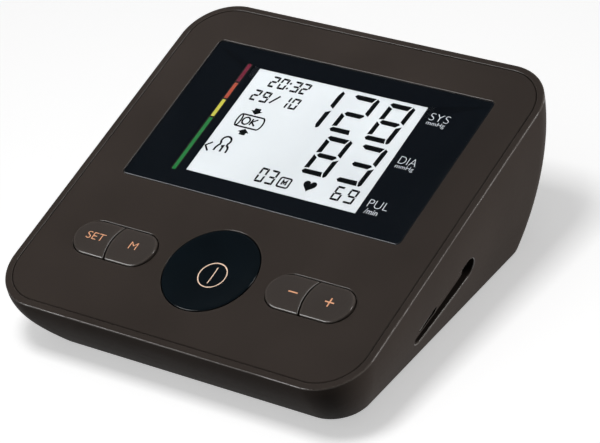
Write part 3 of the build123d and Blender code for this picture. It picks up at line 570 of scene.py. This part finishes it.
# the face's openings lie between these places, in metres, and offPlane is in millimetres
openings = {"halfWidth": 0.053, "front": -0.053, "back": 0.05, "offPlane": 0.05}


def onFacePlane(x, y, z):
    # the inner edge of the rim, which lies in the plane of the face
    behind, above = y * 1000 - slope["front"], z * 1000 - slope["height"]
    out = above * math.cos(slope["angle"]) - behind * math.sin(slope["angle"])
    return abs(out) < openings["offPlane"]


def roundHoles(x, y, z):
    # the edges of the face's openings, inside its own outline
    inside = abs(x) < openings["halfWidth"] and openings["front"] < y < openings["back"]
    return inside and onFacePlane(x, y, z)


# bevel in millimetres, the strength of the painted highlight and gloss on the round edges, and which sharp
# edges get the bevel
caseEdges = {
    "side_housing": (0.2, 1.0, onFacePlane),
    "front_panel": (0.3, 0.9, roundHoles),
    "bottom_cover": (0.0, 1.0, None),
    "battery_door": (0.0, 1.0, None),
    "socket_plate": (0.1, 0.4, None),
}
for node, (bevel, edgeHighlightShare, select) in caseEdges.items():
    smoothCopy(node, bevel, edgeHighlightShare, select)
roundParts = [
    "cuff_socket", "power_socket", "housing_screws", "foot_front_left", "foot_front_right", "foot_back_left",
    "foot_back_right", "battery_cell_1", "battery_cell_2", "battery_cell_3", "battery_cell_4",
    "contact_springs", "contact_plates", "air_pump", "pump_motor", "air_cross", "exhaust_valve",
    "pressure_sensor", "pump_tube", "cuff_tube", "valve_tube", "sensor_tube", "pump_leads", "battery_leads",
    "capacitors", "buzzer", "board_screws", "socket_screws",
]
for node in roundParts:
    smoothCopy(node)
# the silicone domes flatten under their keys by as much as the key travels; here each gets a smoothed copy
# with a mesh of its own, and the foot it stands on is found but not used
domes = []
for joint in frame["joints"]:
    for soft in joint.get("deforming_nodes", []):
        dome = smoothCopy(soft["node"])
        corners = readAll(dome.data.vertices, "co", 3)
        height = corners @ outOfFace
        foot = corners[height.argmin()].tolist()
        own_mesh(dome)
        domes.append(dome)
print("CAD pieces smoothed:", len(caseEdges) + len(roundParts) + len(domes))


# Window

window = {
    "width": 103.3, "height": 58.4, "middle": 84.4, "corner": 1.35, "thickness": 0.5, "edgeRound": 0.22,
    "arcPoints": 12, "edgeSteps": 5, "footIn": 0.02, "topIn": 0.1, "crease": 50.0,
}


def roundedRectangle(width, height, corner, arcPoints, middle=0.0):
    # quarter circles of the corner radius round each corner, joined by straight sides, anticlockwise
    turn = np.linspace(0, math.pi / 2, arcPoints)
    pieces = []
    for quarter, (sideX, sideY) in enumerate(((1, 1), (-1, 1), (-1, -1), (1, -1))):
        angle = turn + quarter * math.pi / 2
        x = sideX * (width / 2 - corner) + corner * np.cos(angle)
        y = sideY * (height / 2 - corner) + corner * np.sin(angle) + middle
        pieces.append(np.stack([x, y], -1))
    return np.concatenate(pieces)


def windowRings():
    # the outline goes straight up from the bottom, then turns inwards over a quarter circle at the top
    w = window
    outline = roundedRectangle(w["width"], w["height"], w["corner"], w["arcPoints"], w["middle"])
    rings = [onFace(*inset(outline, w["footIn"]).T, -w["thickness"]), onFace(*outline.T, -w["thickness"])]
    for angle in np.linspace(0, math.pi / 2, w["edgeSteps"]):
        ring = inset(outline, w["edgeRound"] * (1 - math.cos(angle)))
        rings.append(onFace(*ring.T, -w["edgeRound"] * (1 - math.sin(angle))))
    rings.append(onFace(*inset(outline, w["edgeRound"] + w["topIn"]).T, 0.0))
    return np.stack(rings)


lens = meshPiece(
    "windowSheet", *closedRings(windowRings()), finishes["window"], "console", "window", window["crease"]
)
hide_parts("display_window")
print("window made")


# Start key

startKey = {
    "row": 29.5, "radius": 15.4, "lip": 0.9, "dish": 2.3, "proud": 0.08, "edgeRound": 0.25, "edgeSteps": 7,
    "flangeTop": -2.35, "flangeRadius": 16.5, "flangeThickness": 0.9, "stemRadius": 2.2, "stemLength": 2.0,
    "blend": [[0.3, 0.0], [0.14, -0.004]], "dishInner": 0.3, "dishSteps": 30, "around": 160, "crease": 40.0,
}


def dishHeight(radius):
    # a sphere's hollow: it rises from its lowest point by the ball's radius, less the root of its square
    # minus the square of the distance from the middle
    reach = startKey["radius"] - startKey["lip"]
    ball = (reach**2 + startKey["dish"] ** 2) / (2 * startKey["dish"])
    return startKey["proud"] - startKey["dish"] + ball - np.sqrt(ball**2 - np.asarray(radius, float) ** 2)


def startKeyProfile():
    # radius and height pairs from the foot of the stem, round the flange and the lip, into the dish
    k = startKey
    under = k["flangeTop"] - k["flangeThickness"]
    stem = [(k["stemRadius"], under - k["stemLength"]), (k["stemRadius"], under)]
    flange = [(k["flangeRadius"], under), (k["flangeRadius"], k["flangeTop"]), (k["radius"], k["flangeTop"])]
    turn = np.linspace(0, math.pi / 2, k["edgeSteps"])
    edge = k["edgeRound"]
    lip = np.stack([k["radius"] - edge * (1 - np.cos(turn)), k["proud"] - edge * (1 - np.sin(turn))], -1)
    radii = np.linspace(k["radius"] - k["lip"], k["dishInner"], k["dishSteps"])
    dish = np.stack([radii, dishHeight(radii)], -1)
    return np.vstack([stem, flange, lip, dish[0] + np.array(k["blend"]), dish[1:]])


def turned(profile, middleX, middleS, around):
    # the profile's radius goes round the face's normal
    angle = np.linspace(0, 2 * math.pi, around, endpoint=False)
    radius, height = profile[:, :1], profile[:, 1:]
    return onFace(middleX + radius * np.cos(angle), middleS + radius * np.sin(angle), height + 0 * angle)


rings = turned(startKeyProfile(), 0.0, startKey["row"], startKey["around"])
startCap = meshPiece(
    "startKeyCap", *closedRings(rings), finishes["gloss_key"], "start_button", "gloss_key", startKey["crease"]
)
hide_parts("start_key")
print("start key made")


# Pair keys

pairKeys = {
    "row": 29.5, "offset": 36.3, "length": 30.5, "height": 13.5, "fitGap": 0.3, "splitShift": 1.3,
    "splitBulge": 1.1, "splitGap": 0.5, "proud": 0.95, "edgeProud": 0.12, "edgeRound": 0.4, "corner": 1.1,
    "flangeTop": -2.35, "flangeWidth": 0.8, "flangeThickness": 0.9, "footShare": 0.2, "crease": 50.0,
    "points": 240, "endPoints": 90, "splitPoints": 60, "edgeSteps": 7, "crownShares": (0.06, 0.97, 16),
}


def splitX(side, s, shift):
    # the gap between two keys is an arc that bulges to the left: x is its leftmost point plus the radius,
    # less the root of the radius squared minus (s - row) squared
    k = pairKeys
    half = k["height"] / 2
    radius = (half**2 + k["splitBulge"] ** 2) / (2 * k["splitBulge"])
    return side * k["offset"] - k["splitShift"] + shift + radius - np.sqrt(radius**2 - (s - k["row"]) ** 2)


def halfOutline(side, rightHalf, grow):
    # half an oblong: a semicircular end, two straight sides and the split arc
    k = pairKeys
    radius = k["height"] / 2 + grow
    straight = (k["length"] - k["height"]) / 2
    toEnd = 1 if rightHalf else -1
    turn = np.linspace(-math.pi / 2, math.pi / 2, k["endPoints"])
    endX = side * k["offset"] + toEnd * (straight + radius * np.cos(turn))
    end = np.stack([endX, k["row"] + radius * np.sin(turn)], -1)
    rise = np.linspace(radius, -radius, k["splitPoints"])
    split = np.stack([splitX(side, k["row"] + rise, toEnd * k["splitGap"] / 2), k["row"] + rise], -1)
    loop = np.vstack([end, split])
    return loop if rightHalf else loop[::-1]


def crownHeight(s):
    # a cylinder across the key: it falls from proud at the row to edgeProud at the key's long edges
    k = pairKeys
    half = k["height"] / 2 - k["fitGap"]
    crown = k["proud"] - k["edgeProud"]
    radius = (half**2 + crown**2) / (2 * crown)
    return k["proud"] - radius + np.sqrt(radius**2 - np.clip(s - k["row"], -half, half) ** 2)


def pairKeyRings(side, rightHalf):
    k = pairKeys
    outline = softened(evenly(halfOutline(side, rightHalf, -k["fitGap"]), k["points"]), k["corner"])
    flange = evenly(halfOutline(side, rightHalf, k["flangeWidth"]), k["points"])
    middle = outline.mean(0)
    under = k["flangeTop"] - k["flangeThickness"]
    foot = middle + k["footShare"] * (flange - middle)
    rings = [onFace(*foot.T, under), onFace(*flange.T, under)]
    rings += [onFace(*flange.T, k["flangeTop"]), onFace(*outline.T, k["flangeTop"])]
    for angle in np.linspace(0, math.pi / 2, k["edgeSteps"]):
        ring = inset(outline, k["edgeRound"] * (1 - math.cos(angle)))
        rings.append(onFace(*ring.T, crownHeight(ring[:, 1]) - k["edgeRound"] * (1 - math.sin(angle))))
    inner = inset(outline, k["edgeRound"])
    for share in np.linspace(*k["crownShares"]):
        ring = inner + share * (middle - inner)
        rings.append(onFace(*ring.T, crownHeight(ring[:, 1])))
    return np.stack(rings)


keySides = {"set": (-1, False), "memory": (-1, True), "minus": (1, False), "plus": (1, True)}
for name, (side, rightHalf) in keySides.items():
    cap = meshPiece(
        name + "KeyCap", *closedRings(pairKeyRings(side, rightHalf)), finishes["key_plastic"],
        name + "_button", "key_plastic", pairKeys["crease"],
    )
    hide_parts(name + "_key")
print("pair keys made")


# Flat shapes: each is a list of outlines in (x, s), filled and laid a hair above what carries them

def lifted(x, s, lift):
    # lift is one height out of the face, or a function that gives it at each place
    return onFace(x, s, lift(x, s) if callable(lift) else lift)


def flatPiece(name, shapes, lift, finish, body, slot):
    flat = np.concatenate(shapes)
    starts = np.cumsum([0] + [len(shape) for shape in shapes])
    faces = [range(*ends) for ends in zip(starts[:-1], starts[1:])]
    return meshPiece(name, lifted(*flat.T, lift), faces, finish, body, slot)


def anticlockwise(shape):
    shape = np.asarray(shape, float)
    x, s = shape.T
    area = np.sum(x * np.roll(s, -1) - np.roll(x, -1) * s)
    return shape if area > 0 else shape[::-1]


def stroke(points, width, closed=False):
    # a line of constant width: quads between the points moved half the width to either side along the mitred
    # normal
    line = np.asarray(points, float)
    before = np.roll(line, 1, axis=0) if closed else np.vstack([line[:1] * 2 - line[1:2], line[:-1]])
    after = np.roll(line, -1, axis=0) if closed else np.vstack([line[1:], line[-1:] * 2 - line[-2:-1]])
    into = (line - before) / np.linalg.norm(line - before, axis=1, keepdims=True)
    out = (after - line) / np.linalg.norm(after - line, axis=1, keepdims=True)
    mitre = into + out
    mitre /= np.linalg.norm(mitre, axis=1, keepdims=True)
    stretch = 1 / np.clip(np.sum(mitre * out, axis=1, keepdims=True), 0.5, 1)
    sideways = np.stack([-mitre[:, 1], mitre[:, 0]], -1) * stretch * width / 2
    left, right = line + sideways, line - sideways
    quads = np.stack([left, right, np.roll(right, -1, axis=0), np.roll(left, -1, axis=0)], 1)
    return [anticlockwise(quad) for quad in (quads if closed else quads[:-1])]


def arc(x, s, radiusX, radiusS, start, end, count):
    # part of an ellipse round (x, s), from start to end in degrees
    angle = np.radians(np.linspace(start, end, count))
    return np.stack([x + radiusX * np.cos(angle), s + radiusS * np.sin(angle)], -1)


segments = {
    "0": "abcdef", "1": "bc", "2": "abged", "3": "abgcd", "6": "afgedc", "8": "abcdefg", "9": "abcdfg",
}
# each bar's corners: x is the first number times the width plus the second times the thickness, and s is the
# third times the height plus the fourth times the thickness
digitBars = {
    "a": [(0, 0, 1, -0.45), (0, 0.3, 1, 0), (1, -0.9, 1, 0), (1, -1.25, 1, -1), (0, 0.95, 1, -1)],
    "b": [(1, -0.6, 1, 0), (1, 0, 1, -0.4), (1, 0, 0.5, 0.25), (1, -0.9, 0.5, 0.8), (1, -0.9, 1, -1.1)],
    "c": [
        (1, 0, 0.5, -0.2), (1, 0, 0, 0.3), (1, -0.3, 0, 0), (1, -0.55, 0, 0), (1, -0.9, 0, 0.8),
        (1, -0.9, 0.5, -0.8),
    ],
    "d": [(0, 0, 0, 0.45), (0, 0.35, 0, 0.95), (1, -1.25, 0, 1), (1, -0.85, 0, 0), (0, 0.5, 0, 0)],
    "e": [(0, 0, 0, 1.15), (0, 0.9, 0, 1.35), (0, 0.9, 0.5, -0.75), (0, 0, 0.5, -0.12)],
    "f": [(0, 0, 0.5, 0.36), (0, 0.92, 0.5, 0.65), (0, 0.92, 1, -1.3), (0, 0, 1, -0.85)],
    "g": [
        (0, 0.57, 0.5, -0.15), (0, 0.8, 0.5, 0.4), (1, -1, 0.5, 0.4), (1, -0.65, 0.5, 0.12),
        (1, -1.2, 0.5, -0.52), (0, 1.2, 0.5, -0.52),
    ],
}


def sevenSegment(digit, left, bottom, width, height, thickness, lean, grow):
    # lean moves each point right by lean times its height; the bars are drawn thinner by grow and then grown
    # outwards by it, which closes the gaps between them
    shapes = []
    inner = thickness - 2 * grow
    for bar in segments[digit]:
        corners = np.array(digitBars[bar])
        x = grow + corners[:, 0] * (width - 2 * grow) + corners[:, 1] * inner
        s = grow + corners[:, 2] * (height - 2 * grow) + corners[:, 3] * inner
        drawn = anticlockwise(np.stack([left + x + lean * s, bottom + s], -1))
        shapes.append(inset(drawn, -grow))
    return shapes


# Display figures

figures = {
    "lift": -0.585,
    "sizes": {
        "big": {"width": 9.2, "height": 15.7, "thickness": 1.88, "lean": 0.068, "grow": 0.08},
        "clock": {"width": 2.85, "height": 4.65, "thickness": 0.8, "lean": 0.09, "grow": 0.1},
        "memory": {"width": 2.95, "height": 5.8, "thickness": 0.8, "lean": 0.03, "grow": 0.1},
        "pulse": {"width": 3.3, "height": 5.65, "thickness": 0.8, "lean": 0.04, "grow": 0.1},
    },
    # the digits of a number, their left sides, their foot and their size
    "numbers": [
        ("128", (-8.05, 4.95, 17.98), 89.4, "big"), ("83", (5.5, 18.4), 72.0, "big"),
        ("20", (-25.3, -21.75), 100.2, "clock"), ("32", (-16.85, -13.45), 100.2, "clock"),
        ("29", (-28.25, -24.55), 93.7, "clock"), ("10", (-16.95, -13.4), 93.7, "clock"),
        ("03", (-7.45, -3.6), 64.6, "memory"), ("69", (20.4, 25.2), 65.05, "pulse"),
    ],
}


def heart(x, s, scaleX, scaleS):
    # x is 16 sin^3 and s is 13 cos - 5 cos 2 - 2 cos 3 - cos 4 of the angle, scaled
    angle = np.linspace(0, 2 * math.pi, 60, endpoint=False)
    across = 16 * np.sin(angle) ** 3
    up = 13 * np.cos(angle) - 5 * np.cos(2 * angle) - 2 * np.cos(3 * angle) - np.cos(4 * angle)
    return np.stack([x + across * scaleX, s + up * scaleS], -1)


# each drawn line: its width, if its end joins its start, and its points. The cuff is a lying tube with an
# open end on the left and OK on it. The person is a head and shoulders with a 1 inside and a chevron to the
# left.
symbolLines = {
    "dateSlash": (0.72, False, [(-20.45, 94.2), (-18.1, 97.7)]),
    "cuffEnd": (0.6, True, arc(-26.3, 85.5, 0.72, 2.4, 0, 345, 30)),
    "cuffTube": (0.6, False, np.vstack([
        [(-26.2, 87.95), (-18.5, 87.95)], arc(-18.45, 85.5, 1.15, 2.45, 88, -88, 20),
        [(-18.5, 83.05), (-26.2, 83.05)],
    ])),
    "cuffO": (0.6, True, arc(-23.65, 85.6, 1.3, 1.45, 0, 348, 28)),
    "cuffKStem": (0.58, False, [(-21.55, 86.95), (-21.7, 84.25)]),
    "cuffKArms": (0.58, False, [(-19.75, 86.95), (-21.5, 85.6), (-19.85, 84.25)]),
    "person": (0.72, False, np.vstack([
        [(-22.9, 71.95), (-22.95, 73.3), (-23.3, 74.2), (-24.05, 74.7)],
        arc(-25.35, 76.5, 1.68, 1.68, -38, 218, 26),
        [(-26.6, 74.7), (-27.0, 74.2), (-27.35, 73.3), (-27.45, 71.95)],
    ])),
    "personOne": (0.75, False, [(-25.85, 74.1), (-25.1, 74.4), (-25.1, 71.95)]),
    "personChevron": (0.6, False, [(-29.4, 74.85), (-31.2, 73.1), (-29.3, 71.2)]),
    "memoryFrame": (0.62, True, roundedRectangle(3.95, 3.65, 0.6, 6, 66.75) + [2.95, 0.0]),
    "memoryM": (0.66, False, [(2.25, 65.85), (2.25, 67.6), (2.95, 66.5), (3.65, 67.6), (3.65, 65.85)]),
}
arrow = np.array([(-1.15, 0.2), (-1.15, 1.2), (1.15, 1.2), (1.15, 0.2), (2.15, 0.1), (0, -1.4), (-2.15, 0.1)])
symbolFills = {
    "colonLow": arc(-18.0, 101.2, 0.42, 0.42, 0, 345, 12),
    "colonHigh": arc(-17.79, 103.3, 0.42, 0.42, 0, 345, 12),
    "arrowDown": arrow + [-22.35, 89.95],
    "arrowUp": arrow * [1, -1] + [-21.95, 81.2],
    "heart": heart(11.55, 67.95, 0.146, 0.148),
}


def displayShapes():
    shapes = [anticlockwise(shape) for shape in symbolFills.values()]
    for width, closed, points in symbolLines.values():
        shapes += stroke(points, width, closed)
    for digits, lefts, bottom, size in figures["numbers"]:
        for digit, left in zip(digits, lefts):
            shapes += sevenSegment(digit, left, bottom, **figures["sizes"][size])
    return shapes


flatPiece("displayFigures", displayShapes(), figures["lift"], inks["display"], "console", "lcd_glass")
print("display figures made")


# Printed bar and words

riskBar = {
    "x": -36.0, "halfWidth": 0.64, "lift": -0.585, "corner": 0.62,
    "marks": [
        (61.55, 83.7, rgb(0, 114, 46)), (84.25, 91.55, rgb(182, 174, 42)),
        (92.1, 98.85, rgb(164, 60, 30)), (99.4, 107.2, rgb(108, 0, 40)),
    ],
}


def riskShapes():
    # one rectangle for each colour; the top one ends in a rounded outline
    x, half, corner = riskBar["x"], riskBar["halfWidth"], riskBar["corner"]
    *plain, (start, end) = [mark[:2] for mark in riskBar["marks"]]
    shapes = [[(x - half, low), (x + half, low), (x + half, high), (x - half, high)] for low, high in plain]
    return shapes + [np.vstack([
        [(x - half, start), (x + half, start)],
        arc(x + half - corner, end - corner, corner, corner, 0, 90, 10),
        arc(x - half + corner, end - corner, corner, corner, 90, 180, 10),
    ])]


bandInk = riskColours("riskBands", riskBar["marks"])
flatPiece("riskBar", riskShapes(), riskBar["lift"], bandInk, "console", "black_print")


def wordPiece(name, words, box, lift, finish, body, slot, thin=0.0, longest=0.6):
    # the words' own outline is stretched to fill box: left, right, bottom, top; its long edges are split to
    # follow a curve
    curve = bpy.data.curves.new(name, "FONT")
    curve.body, curve.offset, curve.resolution_u = words, -thin, 6
    holder = bpy.data.objects.new(name, curve)
    bpy.context.scene.collection.objects.link(holder)
    drawn = bpy.data.meshes.new_from_object(holder.evaluated_get(bpy.context.evaluated_depsgraph_get()))
    left, right, bottom, top = box
    joined = bmesh.new()
    joined.from_mesh(drawn)
    unit = (right - left) / holder.dimensions[0]
    for _ in range(3):
        bmesh.ops.triangulate(joined, faces=joined.faces)
        long = [edge for edge in joined.edges if edge.calc_length() * unit > longest]
        bmesh.ops.subdivide_edges(joined, edges=long, cuts=1)
    bmesh.ops.triangulate(joined, faces=joined.faces)
    joined.to_mesh(drawn)
    joined.free()
    flat = readAll(drawn.vertices, "co", 3)[:, :2]
    faces = [list(face.vertices) for face in drawn.polygons]
    bpy.data.objects.remove(holder)
    bpy.data.meshes.remove(drawn)
    low, high = flat.min(0), flat.max(0)
    x = left + (flat[:, 0] - low[0]) / (high[0] - low[0]) * (right - left)
    s = bottom + (flat[:, 1] - low[1]) / (high[1] - low[1]) * (top - bottom)
    return meshPiece(name, lifted(x, s, lift), faces, finish, body, slot)


# the words, the box they fill, and how much thinner their lines are drawn
windowWords = {
    "systolicWord": ("SYS", (34.1, 41.1, 101.95, 104.8), 0.022),
    "systolicUnit": ("mmHg", (34.3, 40.8, 99.65, 101.6), 0.008),
    "diastolicWord": ("DIA", (33.9, 40.1, 83.8, 86.6), 0.022),
    "diastolicUnit": ("mmHg", (33.9, 40.4, 81.5, 83.4), 0.008),
    "pulseWord": ("PUL", (33.6, 40.8, 65.9, 68.8), 0.022),
    "pulseUnit": ("/min", (34.0, 38.6, 63.35, 65.35), 0.0),
}
printLift = {"window": -0.49, "crown": 0.015, "dish": 0.02}
for name, (words, box, thin) in windowWords.items():
    wordPiece(name, words, box, printLift["window"], inks["pale"], "console", "black_print", thin)


def onCrown(x, s):
    return crownHeight(s) + printLift["crown"]


def inDish(x, s):
    return dishHeight(np.hypot(x, s - startKey["row"])) + printLift["dish"]


keyWords = {
    "set": ("SET", (-46.9, -40.2, 28.2, 30.9), 0.012),
    "memory": ("M", (-30.5, -27.8, 28.5, 31.2), 0.014),
}
for name, (words, box, thin) in keyWords.items():
    wordPiece(name + "Mark", words, box, onCrown, inks["copper"], name + "_button", "key_plastic", thin)

# the width of the lines, and their ends
keyLines = {
    "minus": (0.42, [[(28.9, 29.45), (32.2, 29.45)]]),
    "plus": (0.44, [
        [(41.95, 29.45), (45.15, 29.45)], [(43.55, 29.67), (43.55, 31.05)], [(43.55, 27.85), (43.55, 29.23)],
    ]),
}
for name, (width, lines) in keyLines.items():
    bars = [quad for line in lines for quad in stroke(line, width)]
    flatPiece(name + "Mark", bars, onCrown, inks["copper"], name + "_button", "key_plastic")

startMark = {
    "row": 29.3, "radius": 4.6, "ringLine": 0.36, "ringEnd": 357, "ringPoints": 120, "barHalf": 3.15,
    "barLine": 0.34, "barPoints": 12,
}


def startMarkShapes():
    # a ring, and an upright bar inside it
    m = startMark
    ring = arc(0, m["row"], m["radius"], m["radius"], 0, m["ringEnd"], m["ringPoints"])
    rise = m["row"] + np.linspace(-m["barHalf"], m["barHalf"], m["barPoints"])
    bar = np.stack([np.zeros_like(rise), rise], -1)
    return stroke(ring, m["ringLine"], True) + stroke(bar, m["barLine"])


flatPiece("startMark", startMarkShapes(), inDish, inks["paleCopper"], "start_button", "gloss_key")
print("printed marks made")


# Floor, lamps and camera

studio = {
    "floorSize": 3.0, "floorRows": 9, "floorTone": 0.9, "floorGlow": 0.5, "bounceTone": 0.2,
    "worldLevel": 0.05, "aim": (0, 0, 0.02),
}


def paleFloor():
    # the camera, mirrors and clear sheets see a glowing pale floor, and other light only a darker, plain one
    size, rows = studio["floorSize"], studio["floorRows"]
    side = np.linspace(-size, size, rows)
    x, y = np.meshgrid(side, side)
    points = np.stack([x, y, np.zeros_like(x)], -1).reshape(-1, 3)
    mesh = bpy.data.meshes.new("floor")
    mesh.from_pydata(points.tolist(), [], gridFaces(rows, rows, False))
    f = Finish("paleFloor")
    plain = f.add("ShaderNodeBsdfDiffuse", None, {"Color": (studio["floorTone"],) * 3 + (1,)})
    bounce = f.add("ShaderNodeBsdfDiffuse", None, {"Color": (studio["bounceTone"],) * 3 + (1,)})
    glow = f.add("ShaderNodeEmission", None, {"Color": (1, 1, 1, 1), "Strength": studio["floorGlow"]})
    both = f.add("ShaderNodeAddShader", None, {0: plain, 1: glow})
    path = f.tree.nodes.new("ShaderNodeLightPath")
    seen = [Wire(f, path.outputs[kind]) for kind in ("Is Camera Ray", "Is Glossy Ray", "Is Transmission Ray")]
    lit = seen[0].math("MAXIMUM", seen[1]).math("MAXIMUM", seen[2])
    mesh.materials.append(f.done(f.add("ShaderNodeMixShader", None, {0: lit, 1: bounce, 2: both})))
    floor = bpy.data.objects.new("floor", mesh)
    bpy.context.scene.collection.objects.link(floor)
    return floor


def softLamp(name, place, size, power, mirrored, past):
    # mirrored says if glossy surfaces show the lamp, and past is a collection that it leaves unlit
    lamp = bpy.data.lights.new(name, "AREA")
    lamp.shape, lamp.size, lamp.size_y, lamp.energy = "RECTANGLE", size[0], size[1], power
    holder = bpy.data.objects.new(name, lamp)
    bpy.context.scene.collection.objects.link(holder)
    aim = Vector(studio["aim"]) - Vector(place)
    holder.location = place
    holder.rotation_euler = aim.to_track_quat("-Z", "Y").to_euler()
    holder.visible_glossy = mirrored
    holder.light_linking.receiver_collection = past


def leftOut(name, pieces):
    # the pieces that a lamp leaves unlit
    group = bpy.data.collections.new(name)
    for piece in pieces:
        group.objects.link(piece)
    for member in group.collection_objects:
        member.light_linking.link_state = "EXCLUDE"
    return group


floor = paleFloor()
floorOnly = leftOut("floorOnly", [floor])
floorAndWindow = leftOut("floorAndWindow", [floor, lens])
world = bpy.data.worlds.new("studio")
world.use_nodes = True
world.node_tree.nodes["Background"].inputs["Color"].default_value = (1, 1, 1, 1)
world.node_tree.nodes["Background"].inputs["Strength"].default_value = studio["worldLevel"]
bpy.context.scene.world = world
# places and sizes in metres, power in watts
lamps = {
    "skyLamp": {
        "place": (0.02, -0.18, 0.74), "size": (0.2, 0.2), "power": 2.4, "mirrored": False, "past": None,
    },
    "fillLamp": {
        "place": (-0.1, -0.4, 1.55), "size": (2.4, 2.4), "power": 6.5, "mirrored": False, "past": None,
    },
    "nearLamp": {
        "place": (-0.17, 0.15, 0.3), "size": (0.3, 0.3), "power": 1.15, "mirrored": False, "past": floorOnly,
    },
    "keyLamp": {
        "place": (-0.93, -1.12, 0.92), "size": (0.8, 0.8), "power": 19.0, "mirrored": True, "past": floorOnly,
    },
    "sideLamp": {
        "place": (1.3, 0.75, 0.2), "size": (0.5, 0.3), "power": 34.0, "mirrored": False, "past": floorOnly,
    },
    "rimLamp": {
        "place": (1.18, 0.52, 0.79), "size": (0.55, 0.55), "power": 7.0, "mirrored": True,
        "past": floorAndWindow,
    },
}
for name, lamp in lamps.items():
    softLamp(name, **lamp)

# the camera's place in metres, its lens and sensor in millimetres, and the directions of its own axes
view = {
    "place": (0.5078, -0.5621, 0.5273), "lens": 180.58, "sensor": 36.0, "clip": (0.01, 20.0),
    "right": (0.80540, 0.56958, -0.16404), "up": (-0.21403, 0.53755, 0.81562),
    "back": (0.55274, -0.62179, 0.55485),
}
lensData = bpy.data.cameras.new("camera")
lensData.lens, lensData.sensor_width, lensData.sensor_fit = view["lens"], view["sensor"], "HORIZONTAL"
lensData.clip_start, lensData.clip_end = view["clip"]
camera = bpy.data.objects.new("camera", lensData)
bpy.context.scene.collection.objects.link(camera)
turn = Matrix((view["right"], view["up"], view["back"])).transposed()
camera.matrix_world = Matrix.Translation(view["place"]) @ turn.to_4x4()
bpy.context.scene.camera = camera
bpy.context.scene.view_settings.view_transform = "Standard"
print("floor, lamps and camera made")
